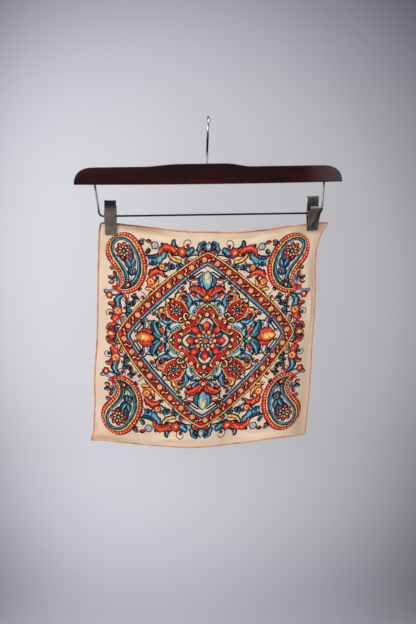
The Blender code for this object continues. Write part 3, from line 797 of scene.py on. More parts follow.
class Finish:
    """A Principled material and the few nodes that vary it."""

    def __init__(self, name, colour, roughness, metallic=0.0, **values):
        self.material = bpy.data.materials.new(name)
        self.material.use_nodes = True
        self.nodes = self.material.node_tree.nodes
        self.shader = self.nodes["Principled BSDF"]
        self.put(Base_Color=rgba(colour), Roughness=roughness, Metallic=metallic, **values)

    def feed(self, socket, value):
        """Join an output to a socket, or give the socket a value."""
        if hasattr(value, "is_output"):
            self.material.node_tree.links.new(value, socket)
        else:
            socket.default_value = value

    def put(self, **values):
        """What goes into the shader."""
        for name, value in values.items():
            self.feed(self.shader.inputs[name.replace("_", " ")], value)

    def node(self, kind, output, **values):
        """An output of a new node; the values are its settings and what goes into it."""
        node = self.nodes.new("ShaderNode" + kind)
        for key, value in values.items():
            name = key.replace("_", " ")
            if name in node.inputs:
                self.feed(node.inputs[name], value)
            else:
                setattr(node, key, value)
        return node.outputs[output]

    def place(self, scale=(1, 1, 1), turn=(0, 0, 0)):
        """The place on the object in metres, stretched and turned."""
        where = self.node("TexCoord", "Object")
        return self.node("Mapping", "Vector", Vector=where, Scale=scale, Rotation=turn)

    def noise(self, scale, detail=3.0, rough=0.5, stretch=(1, 1, 1), turn=(0, 0, 0)):
        return self.node("TexNoise", "Fac", Vector=self.place(stretch, turn),
                         Scale=scale, Detail=detail, Roughness=rough)

    def along(self, axis, low, high, turn=(0, 0, 0)):
        """0 to 1 along an axis of the object, in metres."""
        value = self.node("SeparateXYZ", axis, Vector=self.place(turn=turn))
        return self.node("MapRange", "Result", Value=value, From_Min=low, From_Max=high)

    def ramp(self, source, *stops):
        """Colours or values along a source; stops are (place, colour 0-255 or value)."""
        colour = self.node("ValToRGB", "Color", Fac=source)
        elements = colour.node.color_ramp.elements
        while len(elements) < len(stops):
            elements.new(0.5)
        for element, (place, value) in zip(elements, stops):
            element.position = place
            element.color = rgba(value)
        return colour

    def blend(self, first, second, share, kind="MIX"):
        """Mix of two colours, each an output or 0-255, by an output or a number."""
        mixed = self.node("Mix", 2, data_type="RGBA", blend_type=kind)
        for number, value in ((0, share), (6, first), (7, second)):
            self.feed(mixed.node.inputs[number], rgba(value) if isinstance(value, tuple) else value)
        return mixed

    def shaded(self, first, second, share=1.0):
        """One colour multiplied by another."""
        return self.blend(first, second, share, "MULTIPLY")

    def product(self, first, second):
        """Two values multiplied."""
        result = self.node("Math", 0, operation="MULTIPLY")
        for socket, value in zip(result.node.inputs, (first, second)):
            self.feed(socket, value)
        return result

    def bump(self, height, distance, strength):
        """A relief over any that is already there."""
        before = {"Normal": link.from_socket for link in self.shader.inputs["Normal"].links}
        relief = self.node("Bump", "Normal", Height=height, Distance=distance, Strength=strength, **before)
        self.put(Normal=relief)


def silk_finish(name, pale):
    """Printed twill: the print's colours, a fine diagonal weave, slight unevenness and painted shade along
    the hems and by the clips.
    """
    silk = Finish(name, (230, 210, 190), 0.46, Sheen_Weight=0.05, Sheen_Roughness=0.4,
                  Specular_IOR_Level=0.22)
    printed = silk.node("Attribute", "Color", attribute_name="print")
    painted, soil = (silk.node("Attribute", "Fac", attribute_name=layer) for layer in ("painted", "soil"))
    strokes = silk.ramp(silk.noise(380.0, 3.0, 0.6, (1.0, 1.0, 0.42), (0, 0.7, 0)),
                        (0.34, 0.26), (0.43, 0.82), (0.54, 1.10), (0.68, 1.36))
    flecks = silk.ramp(silk.noise(430.0, 2.0, 0.5, (1.0, 1.0, 0.35), (0, -0.6, 0)),
                       (0.58, 0.0), (0.70, 0.26))
    cloudy = silk.ramp(silk.noise(26.0), (0.30, (246, 239, 231)), (0.5, (252, 249, 245)),
                       (0.70, (255, 255, 254)))
    # Painted shade: a brown multiply along the hems and by the clips.
    shade_factor = silk.ramp(soil, (0.0, (255, 255, 255)), (1.0, (212, 190, 162)))
    colour = silk.shaded(printed, strokes, painted)
    colour = silk.blend(colour, (246, 204, 140), silk.product(flecks, painted))
    colour = silk.shaded(colour, cloudy)
    if pale:
        colour = silk.blend(colour, GROUND, pale)
    silk.put(Base_Color=silk.shaded(colour, shade_factor))
    weave = silk.node("TexWave", "Fac", Vector=silk.place((420, 420, 420), (0, 0.6, 0.3)),
                      Scale=1.0, Distortion=0.4, Detail=1.0, Detail_Scale=2.0)
    silk.bump(weave, 0.00004, 0.5)
    silk.bump(silk.noise(900.0, 2.0), 0.00005, 0.35)
    return silk.material


def edging_finish():
    """Copper-orange silk, with painted shade, a darker brown, on the top hem beside the left clip."""
    rolled = Finish("copper edging", (214, 148, 106), 0.5, Sheen_Weight=0.1)
    tone = rolled.ramp(rolled.noise(70.0), (0.25, (168, 102, 66)), (0.45, (210, 144, 102)),
                       (0.8, (232, 176, 136)))
    # Painted shade: the top hem turns dark brown just right of the left clip, where the cloth folds.
    clip_shade = rolled.product(rolled.along("X", -0.045, -0.105), rolled.along("Z", -0.153, -0.143))
    rolled.put(Base_Color=rolled.blend(tone, (126, 76, 48), clip_shade))
    rolled.bump(rolled.noise(1400.0, 2.0), 0.00008, 0.5)
    return rolled.material


def thread_finish():
    thread = Finish("sewing thread", (224, 156, 116), 0.6)
    tone = thread.ramp(thread.noise(700.0, 2.0), (0.3, (200, 128, 90)), (0.7, (236, 172, 132)))
    thread.put(Base_Color=tone)
    return thread.material


def lacquer_finish():
    """Dark mahogany: grain along the bar under a clear coat, with a painted sheen, a paler purple-grey,
    towards its right end.
    """
    wood = Finish("mahogany lacquer", (34, 10, 12), 0.4, Coat_Weight=0.14, Coat_Roughness=0.12,
                  Specular_IOR_Level=0.12)
    broad = wood.noise(30.0, 5.0, 0.62, (0.16, 1.0, 1.3))
    fine = wood.noise(240.0, 4.0, 0.7, (0.035, 1.0, 1.0))
    tone = wood.ramp(broad, (0.30, (25, 5, 7)), (0.46, (36, 7, 9)), (0.58, (58, 11, 13)),
                     (0.68, (74, 14, 15)), (0.82, (36, 9, 10)))
    tone = wood.shaded(tone, wood.ramp(fine, (0.36, 0.55), (0.54, 1.0)), 0.85)
    patchy = wood.ramp(wood.along("X", -0.18, 0.18), (0.0, 0.68), (0.38, 0.85), (0.49, 1.4),
                       (0.60, 0.95), (0.8, 1.2))
    # Painted sheen: the right end of the bar blends to a paler purple-grey.
    tone = wood.blend(wood.shaded(tone, patchy), (78, 60, 66), wood.along("X", 0.128, 0.176))
    wood.put(Base_Color=tone, Roughness=wood.ramp(fine, (0.3, 0.46), (0.7, 0.30)))
    wood.bump(fine, 0.00010, 0.25)
    wood.bump(wood.noise(18.0, 2.0, 0.5, (0.3, 1, 1)), 0.0004, 0.15)
    return wood.material


def wire_finish(name, rough, low, high, *stops):
    """Plated wire with faint draw marks; its tone follows its height from low to high (metres), painted
    reflections and light that make it darker or lighter at given heights.
    """
    steel = Finish(name, (200, 202, 206), rough, 1.0)
    streaks = steel.noise(300.0, 3.0, 0.6, (1.0, 1.0, 0.12))
    tone = steel.ramp(steel.along("Z", low, high), *stops)
    steel.put(Base_Color=steel.shaded(tone, steel.ramp(streaks, (0.3, 0.82), (0.7, 1.0))),
              Roughness=steel.ramp(streaks, (0.3, rough * 0.8), (0.7, rough * 1.5)))
    return steel.material


def plate_finish(name, light, rough=0.42, gleam=False):
    """Nickel-plated pressed steel, brushed lengthways and slightly worn. Light scales its tone and so
    paints in light or shade; gleam adds painted reflections.
    """
    plate = Finish(name, (128, 122, 118), rough, 0.9)
    brushed = plate.noise(1100.0, 3.0, 0.65, (1.0, 1.0, 0.05))
    worn = ((0.28, (122, 113, 106)), (0.55, (150, 141, 133)), (0.8, (172, 163, 154)))
    tone = plate.ramp(plate.noise(90.0, 4.0, 0.6),
                      *((place, tuple(light * part for part in colour)) for place, colour in worn))
    tone = plate.shaded(tone, plate.ramp(brushed, (0.3, 0.8), (0.7, 1.0)), 0.7)
    if gleam:
        # Painted reflection: a light then a dark band slanting across the plate.
        painted_reflection = plate.ramp(plate.along("X", *GLEAM, turn=(0, -0.40, 0)),
                              (0.0, 1.0), (0.38, 1.5), (0.52, 0.42), (0.66, 0.55), (0.8, 1.1))
        tone = plate.shaded(tone, painted_reflection)
        # Painted reflection of the silk: the plate's lower end turns warm brown.
        tone = plate.blend(tone, (122, 88, 66), plate.along("Z", -0.1455, -0.1500))
    plate.put(Base_Color=tone, Roughness=plate.ramp(brushed, (0.3, 0.85 * rough), (0.7, 1.25 * rough)))
    plate.bump(brushed, 0.00003, 0.4)
    return plate.material


# --- the silk and its hems --------------------------------------------------------------------
Hem = namedtuple("Hem", "name level far")               # far: at the right or at the bottom
HEMS = (Hem("hem_top", True, False), Hem("hem_right", False, True),
        Hem("hem_bottom", True, True), Hem("hem_left", False, False))
HEM_WIDTH, HEM_THICKNESS, HEM_COVER = 2.5, 1.9, 1.0
STITCH_STEP, STITCH_LEAN, THREAD = 5.0, 0.8, 0.16
GRID = 76                           # squares along each side of the silk's mesh, under the print's lines
# Painted shade on the silk: soft brown patches along the hems and beside the clips, where the cloth curls
# and folds.
ShadePatch = namedtuple("ShadePatch", "x y reach width heading depth")      # mm on the flat square, degrees
SHADE_PATCHES = (
    ShadePatch(-136, -146.5, 34, 5.0, -2, 0.80),
    ShadePatch(-147, -136, 15, 4.0, 90, 0.45),
    ShadePatch(-92, 145.5, 36, 3.6, -1, 0.80),
    ShadePatch(-100, 147.5, 26, 2.4, -1, 0.90),
    ShadePatch(104, 145.0, 26, 4.5, 2, 0.30),
    ShadePatch(146, 112, 30, 3.0, 92, 0.35),
)


def painted_shade(x, y):
    """How brown the painted shade makes the silk, 0 to 1, along the hems and beside the clips where the
    cloth curls and folds.
    """
    shade_factor = np.ones(len(x))
    for spot in SHADE_PATCHES:
        along, aside = along_and_aside(x, y, spot)
        shade_factor *= 1.0 - spot.depth * np.exp(-(along / spot.reach) ** 4 - (aside / spot.width) ** 2)
    return 1.0 - shade_factor


def grouped(count, first, second):
    """Lowest member of each group, where first and second are pairs that belong together."""
    label = np.arange(count)
    while True:
        low = np.minimum(label[first], label[second])
        lower = label.copy()
        for pair in (first, second):
            np.minimum.at(lower, label[pair], low)
        while (lower != lower[lower]).any():
            lower = lower[lower]
        if (lower == label).all():
            return label
        label = lower


def coloured_fields(points, edges, shapes):
    """Triangles between kept edges, each field with the colour on top, and the fields' borders."""
    result = delaunay_2d_cdt([Vector(point) for point in points.tolist()], edges, [], 0, 1e-5, True)
    flat, faces = np.array([tuple(point) for point in result[0]]), np.array(result[2])
    kept = np.array([edge for edge, source in zip(result[1], result[4]) if source])
    sides = np.vstack([faces[:, (0, 1)], faces[:, (1, 2)], faces[:, (2, 0)]])
    side_key, kept_key = (pair.min(1) * len(flat) + pair.max(1) for pair in (sides, kept))
    order = np.argsort(side_key, kind="stable")
    same = side_key[order][1:] == side_key[order][:-1]
    owner = np.tile(np.arange(len(faces)), 3)[order]
    first, second = owner[:-1][same], owner[1:][same]
    crossing = ~np.isin(side_key[order][1:][same], kept_key)
    label = grouped(len(faces), first[crossing], second[crossing])
    wide, high = (flat[faces[:, corner]] - flat[faces[:, 0]] for corner in (1, 2))
    area = np.abs(wide[:, 0] * high[:, 1] - wide[:, 1] * high[:, 0])
    rank = np.lexsort((area, label))
    largest = rank[np.append(label[rank][1:] != label[rank][:-1], True)]
    field_colour = top_colours(flat[faces[largest]].mean(1), shapes)
    colour = field_colour[np.searchsorted(label[largest], label)]
    return flat, faces, colour, sides[order][1:][same][colour[first] != colour[second]]


def printed_triangles(shapes):
    """Flat corner points, triangles and each triangle's colour, with no hidden outlines left."""
    edge = 0.5 * SQUARE - HEM_COVER
    coords, edges, start = [edge * np.array([(-1, -1), (1, -1), (1, 1), (-1, 1)])], [], 4
    for _, outline in shapes:
        index = start + np.arange(len(outline))
        coords.append(outline)
        edges += np.stack([index, np.roll(index, -1)], 1).tolist()
        start += len(outline)
    flat, _, _, border = coloured_fields(np.vstack(coords), edges, shapes)
    used, border = np.unique(border, return_inverse=True)
    line = np.linspace(-edge, edge, GRID + 1)
    grid = np.stack(np.meshgrid(line, line), -1).reshape(-1, 2)
    index = np.arange(len(grid)).reshape(GRID + 1, -1)
    edges = (border.reshape(-1, 2) + len(grid)).tolist()
    for side in (index[0], index[-1], index[:, 0], index[:, -1]):
        edges += np.stack([side[:-1], side[1:]], 1).tolist()
    return coloured_fields(np.vstack([grid, flat[used]]), edges, shapes)[:3]


def silk_sheets(shapes):
    """Front and back skins of the silk over the same surface."""
    flat, faces, colour = printed_triangles(shapes)
    points, _, _, back = cloth_frames(flat[:, 0] / SQUARE + 0.5, 0.5 - flat[:, 1] / SQUARE)
    first, second, third = (flat[faces[:, corner]] for corner in range(3))
    turned = np.cross(second - first, third - first) < 0
    faces[turned] = faces[turned][:, ::-1]
    palette = np.array([rgba(value) for value in COLOURS.values()])
    depth = np.array([{"cream": 0.0, "ink": 0.25}.get(key, 1.0) for key in COLOURS])
    made = []
    for name, side, pale, node in (("silk_front", -1, 0.0, "cloth_panel"), ("silk_back", 1, 0.45, None)):
        order = faces[:, ::-side]
        obj = piece(name, points + back * side * SHELL, order.tolist(),
                    silk_finish(name.replace("_", " "), pale), "printed_silk", node)
        mesh = obj.data
        mesh.normals_split_custom_set_from_vertices((back * side).tolist())
        for_corners = np.repeat(colour, 3)
        store(mesh.color_attributes, "print", "FLOAT_COLOR", "CORNER", "color", palette[for_corners])
        store(mesh.attributes, "painted", "FLOAT", "CORNER", "value", depth[for_corners])
        # Painted shade along the hems and by the clips, 0 to 1 at each point.
        store(mesh.attributes, "soil", "FLOAT", "POINT", "value", painted_shade(*flat.T))
        mesh.uv_layers.new(name="flat").data.foreach_set("uv", (flat[order] / SQUARE + 0.5).ravel())
        made.append(obj)
    return made


def hem_line(hem, count):
    """Shares across and down of one hem's centre line."""
    middle, end = 0.5 * HEM_WIDTH / SQUARE, 0.4 * HEM_WIDTH / SQUARE
    run = np.linspace(end, 1.0 - end, count)
    fixed = np.full(count, 1.0 - middle if hem.far else middle)
    return (run, fixed) if hem.level else (fixed, run)


def hem_frames(hem, across, down):
    """Points along a hem, and the ways across it, along it and to the back."""
    points, right, along, back = cloth_frames(across, down)
    return (points, along, right, back) if hem.level else (points, right, along, back)


def hem_roll(hem, seed, count=420, sides=14):
    """One rolled hem: a soft uneven roll, drawn in at each stitch."""
    points, aside, _, back = hem_frames(hem, *hem_line(hem, count))
    run = np.linspace(0.0, SQUARE, count)
    wobble = 0.06 * np.sin(run / 3.7 + seed) + 0.05 * np.sin(run / 9.1 + 2 * seed)
    drawn = 0.13 * np.exp(-((run / STITCH_STEP) % 1.0 - 0.5) ** 2 / 0.02)
    end = np.clip(np.minimum(run, SQUARE - run) / (0.5 * HEM_WIDTH), 0.02, 1.0)
    size = 0.5 * (1.0 + wobble - drawn) * np.sqrt(np.clip(1.0 - (1.0 - end) ** 2, 0.01, 1.0))
    round_way = ring(even_angles(sides), 1.0) * (HEM_WIDTH, HEM_THICKNESS)
    sections = size[:, None, None] * (round_way @ np.stack([aside, back], 1))
    return swept(points + aside * (0.1 * np.sin(run / 14.0 + seed))[:, None], sections)


def hem_stitches(hem, seed):
    """Slanted whip stitches over one hem, as short thread arcs."""
    count = int(SQUARE / STITCH_STEP)
    index = np.arange(count)
    share = (index + 0.5 + 0.08 * np.sin(index * 2.3 + seed)) / count
    inward = (-0.48 if hem.far else 0.48) * HEM_WIDTH
    over = arc(-25, 205, 9, 1.0) * (inward, -0.49 * HEM_THICKNESS)
    stitch = np.column_stack([over, np.linspace(-STITCH_LEAN, STITCH_LEAN, 9)])
    frames = hem_frames(hem, *(mix(*line, share) for line in hem_line(hem, 2)))
    return joined([tube(point + stitch @ np.array((aside, back, along)), THREAD, 6, domed=False)
                   for point, aside, along, back in zip(*frames)])


# --- the hanger -------------------------------------------------------------------------------
BAR_LEFT, BAR_RIGHT, BAR_BOTTOM, BAR_TOP = -182.2, 178.7, -86.6, -60.0
LEFT_SHOULDER, RIGHT_SHOULDER = -62.9, -64.4
BAR_DEPTH, BAR_ROUNDING, END_RUN, END_POWER = 12.0, 2.2, 27.0, 2.4
LEFT_RISE, RIGHT_FALL = (-88.0, -42.0), (22.0, 58.0)
HOOK_WIRE, HOOK_RADIUS, HOOK_NECK, HOOK_LEAN = 1.5, 18.5, 9.0, 2.8
WIRE, WIRE_BEND, WIRE_DROP = 1.3, 6.5, 46.0
WIRE_ENDS = ((-154.6, -149.9), (154.9, 152.3))      # x at the bar and at the bend, left and right
SEAT = 0.6                          # how far wires run into the wood


def bar_bottom(x):
    """Bowed a little along its length."""
    return BAR_BOTTOM - 0.68 - 0.0025 * x + 4.05e-5 * x * x


def bar_top(x):
    middle = rise(*LEFT_RISE, x) * (1.0 - rise(*RIGHT_FALL, x))
    top = mix(np.where(x < 0, LEFT_SHOULDER, RIGHT_SHOULDER), BAR_TOP, middle)
    into_end = np.clip(END_RUN - np.minimum(x - BAR_LEFT, BAR_RIGHT - x), 0.0, None) / END_RUN
    return mix(bar_bottom(x), top, np.clip(1.0 - into_end ** END_POWER, 0.0, None) ** (1.0 / END_POWER))


def wooden_bar():
    """Rounded outlines from end to end, thinner at the tips."""
    end = END_RUN * (1.0 - np.sin(np.radians(np.linspace(0, 88.5, 40))))
    middle = np.linspace(BAR_LEFT + END_RUN, BAR_RIGHT - END_RUN, 160)[1:-1]
    stations = np.concatenate([BAR_LEFT + end[::-1], middle, BAR_RIGHT - end])
    from_tip = np.minimum(stations - BAR_LEFT, BAR_RIGHT - stations)
    into_tip = np.clip(1.0 - from_tip / BAR_ROUNDING, 0.0, None)
    half_depths = 0.5 * BAR_DEPTH - BAR_ROUNDING * (1.0 - np.sqrt(1.0 - 0.9 * into_tip ** 2))
    sections = []
    for half, top, low in zip(half_depths, bar_top(stations), bar_bottom(stations)):
        rounding = min(BAR_ROUNDING, 0.4 * (top - low))
        y, high, low = half - rounding, top - rounding, low + rounding
        sections.append(np.vstack([arc(start, start + 90, 8, rounding) + corner for start, corner in (
            (0, (y, high)), (90, (-y, high)), (180, (-y, low)), (270, (y, low)))]))
    return swept(np.pad(stations[:, None], ((0, 0), (0, 2))), np.pad(sections, ((0, 0), (0, 0), (1, 0))))


def hook_line():
    """Up the stem, back through the neck and round the bend."""
    centre = HOOK_WIRE - HOOK_RADIUS
    neck_z = centre - math.sqrt((HOOK_RADIUS + HOOK_NECK) ** 2 - HOOK_NECK ** 2)
    meeting = heading((-HOOK_NECK, neck_z - centre))
    y, z = np.vstack([[(0, BAR_TOP - SEAT), (0, BAR_TOP + 2)],
                      arc(0, meeting + 180.0, 14, HOOK_NECK) + (-HOOK_NECK, neck_z),
                      arc(meeting, -360.0, 90, HOOK_RADIUS)[1:] + (0, centre)]).T
    lean = math.radians(HOOK_LEAN)
    return np.stack([z * math.sin(lean), y, z * math.cos(lean)], 1)


def wire_line():
    """Down from the bar, along under it and up again."""
    sides = []
    for (top, low), way in zip(WIRE_ENDS, (1, -1)):
        x, z = np.vstack([[(top + (low - top) * SEAT / WIRE_DROP, BAR_BOTTOM + 3.0 * SEAT)],
                          (low, WIRE_Z) + (WIRE_BEND - arc(0, 88, 10, WIRE_BEND)) * (way, 1)]).T
        sides.append(np.stack([x, 0 * x, z], 1)[::way])
    return np.vstack(sides)


# --- the clips --------------------------------------------------------------------------------
PlateRow = namedtuple("PlateRow", "height out half_width")
FRONT_PLATE = (PlateRow(14.0, 9.6, 8.1), PlateRow(0.0, 5.0, 8.3), PlateRow(-25.0, 0.8, 7.6))
BACK_PLATE = (PlateRow(20.4, 6.8, 7.8), PlateRow(0.0, 5.0, 8.5), PlateRow(-25.0, 0.8, 7.5))
SHEET, PLATE_CORNER, FLANGE = 0.8, 1.1, 1.9
FLANGE_BEGINS, FLANGE_ENDS = (-24.0, -12.0), (7.0, 12.0)
# The gleam is a painted reflection on the right clip's front plate.
GLEAM = (0.178, 0.192)              # metres across the slanting gleam
CURL_RADIUS, CURL_TURN, CURL_DROP = 0.9, 200.0, 1.2
LIP = 2.2                           # height of the lip at the top of a front plate; its own finish paints shade on the left clip and a highlight on the right
EAR, EAR_SPAN, EAR_ROUND, EAR_CENTRE = 0.8, 6.5, 3.4, 1.2
EAR_LAYERS = ((0.0, 0.985, 0.97), (0.12, 1.0, 1.0), (EAR - 0.12, 1.0, 1.0), (EAR, 0.985, 0.97))
FRONT_EAR_INNER, BACK_EAR_INNER = 6.6, 7.7
SPRING_RADIUS, SPRING_WIRE, SPRING_PITCH, SPRING_TURNS, SPRING_LEG = 3.0, 0.45, 1.3, 3.5, 9.0


def plate_section(half, flange):
    """A channel's outline across a plate: (across, inward) round its sheet."""
    bend = (half - PLATE_CORNER, PLATE_CORNER) + arc(-90, 0, 5, PLATE_CORNER)
    flat = np.linspace((0.0, 0.0), (half - PLATE_CORNER, 0.0), 5)[:-1]
    right_half = np.vstack([flat, bend, [(half, PLATE_CORNER + max(0.05, flange - PLATE_CORNER))]])
    middle = np.vstack([right_half[:0:-1] * (-1, 1), right_half])
    return np.vstack([middle, (middle + normals(middle) * SHEET)[::-1]])


def plate_line(rows):
    """Reach and height up the middle of a plate, with its curled upper lip."""
    place, out, _ = np.array(rows[::-1]).T
    height = np.concatenate([np.linspace(place[0], -1.0, 18),
                             np.linspace(1.0, place[-1] - CURL_DROP, 12)])
    reach = np.mean([np.interp(height + shift, place, out) for shift in (-2.0, -1.0, 0.0, 1.0, 2.0)], 0)
    line = np.stack([reach + 1.0, height], 1)
    start = 90.0 + heading(line[-1] - line[-2])
    curl = arc(start, start - CURL_TURN, 12, CURL_RADIUS)
    return np.vstack([line, line[-1] + curl[1:] - curl[0]])


def plate_ear(side, front, inner):
    """One ear beside the wire, its edges softened."""
    back_end = arc(75, -75, 12, EAR_ROUND) * (-1, 1) - (EAR_CENTRE, 0)
    waist = 0.5 * (EAR_SPAN + EAR_ROUND)
    outline = np.vstack([[(5.4, EAR_SPAN), (3.0, waist)], back_end, [(3.0, -waist), (5.4, -EAR_SPAN)]])
    layers = [np.insert(outline * (front * deep, high), 0, side * (inner + across), axis=1)
              for across, deep, high in EAR_LAYERS]
    return swept(np.zeros((len(layers), 3)), np.array(layers))


def pressed_plate(rows, front, ear_inner):
    """A shallow channel with a curled upper lip and two ears round the wire."""
    place, _, half = np.array(rows[::-1]).T
    line = plate_line(rows)
    sections = []
    for spot, way in zip(line, normals(line)):
        level = min(spot[1], rows[0].height - CURL_DROP)
        flange = FLANGE * float(rise(*FLANGE_BEGINS, level) * (1.0 - rise(*FLANGE_ENDS, level)))
        across, inward = plate_section(np.interp(level, place, half), flange).T
        sections.append(np.stack([across, front * inward * way[0], inward * way[1]], 1))
    spine = np.insert(line * (front, 1), 0, 0.0, axis=1)
    ears = [plate_ear(side, front, ear_inner) for side in (-1, 1)]
    return joined([swept(spine, np.array(sections)), *ears])


def torsion_spring():
    """The spring round the wire, one leg under each handle."""
    legs = [mix(rows[1].out, rows[0].out, SPRING_LEG / rows[0].height) - 0.3 - SPRING_WIRE
            for rows in (FRONT_PLATE, BACK_PLATE)]
    half = 0.5 * SPRING_TURNS * SPRING_PITCH
    turns = arc(180, 180 + 360 * SPRING_TURNS, 100, SPRING_RADIUS)
    coil = np.column_stack([np.linspace(-half, half, 100), turns])
    line = np.vstack([[(-half, -legs[0], SPRING_LEG)], coil, [(half, legs[1], SPRING_LEG)]])
    return tube(line, SPRING_WIRE, 10)


def clip_pieces(clip, front, back, spring, lip):
    """The three pieces of a clip in their finishes, each in place of its plain solid."""
    made = []
    for part, (points, faces), finish, slot in (
            ("front", pressed_plate(FRONT_PLATE, -1, FRONT_EAR_INNER), front, "clip_steel"),
            ("back", pressed_plate(BACK_PLATE, 1, BACK_EAR_INNER), back, "clip_steel"),
            ("spring", torsion_spring(), spring, "spring_steel")):
        name = f"{clip.name}_{part}"
        placed = points @ clip_turn(clip).T + (clip.x, 0.0, WIRE_Z)
        obj = piece(name + "_steel", placed, faces, finish, slot, name)
        mesh = obj.data
        if part == "front":
            # The lip gets its own finish: painted shade on the left clip, a painted highlight on the
            # right.
            mesh.materials.append(lip)
            for face, corners in zip(mesh.polygons, faces):
                face.material_index = int(points[corners, 2].min() > FRONT_PLATE[0].height - LIP)
        work = bmesh.new()
        work.from_mesh(mesh)
        bmesh.ops.recalc_face_normals(work, faces=work.faces)
        work.to_mesh(mesh)
        work.free()
        mesh.set_sharp_from_angle(angle=math.radians(42))
        made.append(obj)
    return made


# --- build the pieces -------------------------------------------------------------------------
silk_front, silk_back = silk_sheets(artwork())

edging = edging_finish()
hems = [piece(hem.name + "_roll", *hem_roll(hem, 1.3 * number), edging, "edging", hem.name)
        for number, hem in enumerate(HEMS)]
stitches = joined([hem_stitches(hem, number) for number, hem in enumerate(HEMS)])
stitching = piece("hem_stitches", *stitches, thread_finish(), "edging")

bar = piece("wooden_bar", *wooden_bar(), lacquer_finish(), "lacquered_wood", "hanger_bar")
bar.data.set_sharp_from_angle(angle=math.radians(50))
# Painted reflections on the hook: light below and above, a dark band where it curves back.
bright_steel = wire_finish(
    "bright steel", 0.2, -0.062, 0.002, (0.0, (186, 192, 196)), (0.16, (176, 180, 188)),
    (0.30, (52, 54, 70)), (0.52, (50, 52, 66)), (0.68, (176, 178, 186)), (1.0, (206, 208, 214)))
# Painted reflections on the trouser wire: a dark level run, lighter uprights, darker again at the top.
wire_steel = wire_finish(
    "wire steel", 0.34, -0.1290, -0.0870, (0.0, (52, 53, 58)), (0.08, (56, 57, 62)),
    (0.22, (112, 112, 118)), (0.45, (158, 157, 163)), (0.80, (140, 138, 144)), (0.95, (58, 56, 60)))
# Painted light on the spring: lighter towards its top.
spring_steel = wire_finish(
    "spring steel", 0.3, -0.14, -0.11, (0.0, (120, 118, 116)), (1.0, (150, 148, 146)))
piece("hook_wire", *tube(hook_line(), HOOK_WIRE, 24), bright_steel, "chrome", "hook")
piece("trouser_wire", *tube(wire_line(), WIRE), wire_steel, "chrome", "wire_bar")

left_clip, right_clip = CLIPS
# Each plate finish's light factor paints light or shade into its tone: back plates and the left lip darker
# as painted shade, the right front plate darker than the left, the right lip lighter as a painted
# highlight.
clips = (
    clip_pieces(left_clip, plate_finish("matt front plate", 0.97, 0.55),
                plate_finish("dark back plate", 0.38), spring_steel, plate_finish("dull lip", 0.5, 0.7)),
    clip_pieces(right_clip, plate_finish("bright front plate", 0.76, 0.34, gleam=True),
                plate_finish("worn back plate", 0.76), spring_steel, plate_finish("worn lip", 1.12, 0.4)),
)

# --- stage, light and camera, in metres ---------------------------------------------------------
FLOOR_Z, FLOOR_FRONT, WALL_Y, WALL_TOP, SWEEP = -1.6, -3.5, 2.2, 2.6, 0.6
WALL_CENTRE, WALL_RUN = (0.03, -0.492), 1.217       # what the wall's shade is measured from and in
WALL_BEGINS = (1.2, 2.0)                            # y over which the floor's shade becomes the wall's
PAPER, FLOOR_SHADE = (217, 216, 218), 0.9
# The logarithm of the wall's painted light and shade, a soft pool of light that falls off to darker
# corners: what each power of u (across) and v (up) counts for.
WALL_SHADE = {(0, 0): -0.266, (1, 0): -0.06, (0, 1): -0.22, (2, 0): 0.55, (1, 1): 0.16, (0, 2): 0.35,
              (2, 1): 0.24, (1, 2): -0.24, (0, 3): 0.37, (4, 0): -1.90, (2, 2): -1.86, (0, 4): -0.93}


def backdrop():
    """A pale floor that sweeps up into a wall, with painted light and shade: a little darker away from its
    middle and cooler towards its edges.
    """
    bend = arc(-90, 0, 16, SWEEP) + (WALL_Y - SWEEP, FLOOR_Z + SWEEP)
    wall = np.linspace((WALL_Y, FLOOR_Z + SWEEP), (WALL_Y, WALL_TOP), 60)[1:]
    profile = np.vstack([[(FLOOR_FRONT, FLOOR_Z)], bend, wall])
    columns = np.linspace(-4.0, 4.0, 161)
    points = np.array([(x, y, z) for y, z in profile for x in columns])
    index = np.arange(len(points)).reshape(len(profile), -1)
    faces = np.stack([index[:-1, :-1], index[:-1, 1:], index[1:, 1:], index[1:, :-1]], -1).reshape(-1, 4)
    paper = Finish("pale paper", PAPER, 0.9)
    paper.put(Base_Color=paper.node("Attribute", "Color", attribute_name="shade"))
    obj = mesh_object("backdrop", points / MM, faces.tolist(), paper.material)
    u = np.clip((points[:, 0] - WALL_CENTRE[0]) / WALL_RUN, -0.85, 0.85)
    v = np.clip((points[:, 2] - WALL_CENTRE[1]) / WALL_RUN, -1.1, 1.1)
    on_wall = rise(*WALL_BEGINS, points[:, 1])
    # Painted light and shade on the wall: brighter in a soft pool, darker towards the corners.
    shade = np.exp(sum(factor * u ** of_u * v ** of_v for (of_u, of_v), factor in WALL_SHADE.items()))
    # Painted cool tint of the falloff: bluer towards the wall's edges.
    cooler = np.exp(np.outer((0.08 * u * u + 0.12 * v * v) * on_wall, (0.0, 0.1, 1.0)))
    colour = np.outer(mix(FLOOR_SHADE, shade, on_wall), linear(PAPER)) * cooler
    colour = np.insert(colour, 3, 1.0, axis=1)
    store(obj.data.color_attributes, "shade", "FLOAT_COLOR", "POINT", "color", colour)
    return obj


backdrop()

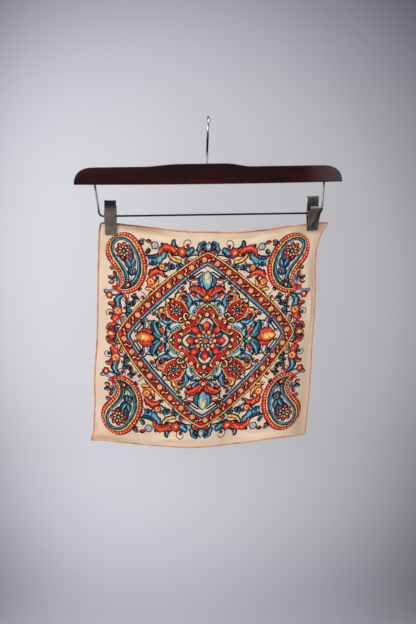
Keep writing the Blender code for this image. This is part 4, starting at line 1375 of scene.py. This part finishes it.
LIGHT_AIM = (0, 0, -0.25)
Light = namedtuple("Light", "name place aim size power mirrored")
LIGHTS = (
    Light("key", (-1.25, -1.55, 0.75), LIGHT_AIM, (1.0, 1.0), 41.0, True),
    Light("fill", (1.5, -1.4, 0.0), LIGHT_AIM, (1.2, 1.6), 9.5, True),
    Light("top", (0.1, -0.15, 1.15), LIGHT_AIM, (1.2, 0.5), 9.0, True),
    Light("back right", (1.35, 1.3, 0.5), LIGHT_AIM, (0.9, 1.2), 13.0, False),
    Light("back left", (-1.35, 1.2, -0.1), LIGHT_AIM, (0.9, 1.2), 11.0, False),
    Light("wall light", (-1.6, 0.9, 0.2), (-0.4, 2.2, -0.2), (1.2, 1.6), 32.0, True),
)
for light in LIGHTS:
    lamp = bpy.data.lights.new(light.name, "AREA")
    lamp.shape, lamp.energy = "RECTANGLE", light.power
    lamp.size, lamp.size_y = light.size
    holder = link(bpy.data.objects.new(light.name, lamp))
    holder.location = light.place
    holder.rotation_euler = (Vector(light.aim) - Vector(light.place)).to_track_quat("-Z", "Y").to_euler()
    holder.visible_glossy = light.mirrored

world = bpy.data.worlds.new("studio")
world.use_nodes = True
sky_light = world.node_tree.nodes["Background"].inputs
sky_light["Color"].default_value = (0.80, 0.82, 0.86, 1.0)
sky_light["Strength"].default_value = 0.24
bpy.context.scene.world = world
bpy.context.scene.view_settings.view_transform = "Standard"

PITCH, ROLL = math.radians(6.0), math.radians(0.87)
CAMERA_AT = Vector((-4.34, -1180.83, -136.56)) * MM
lens = bpy.data.cameras.new("camera")
lens.lens, lens.sensor_width = 50.0, 36.0
camera = link(bpy.data.objects.new("camera", lens))
forward = Vector((0, math.cos(PITCH), -math.sin(PITCH)))
level_up = Vector((0, math.sin(PITCH), math.cos(PITCH)))
right = math.cos(ROLL) * Vector((1, 0, 0)) - math.sin(ROLL) * level_up
up = math.sin(ROLL) * Vector((1, 0, 0)) + math.cos(ROLL) * level_up
camera.matrix_world = Matrix((right, up, -forward)).transposed().to_4x4()
camera.location = CAMERA_AT
bpy.context.scene.camera = camera
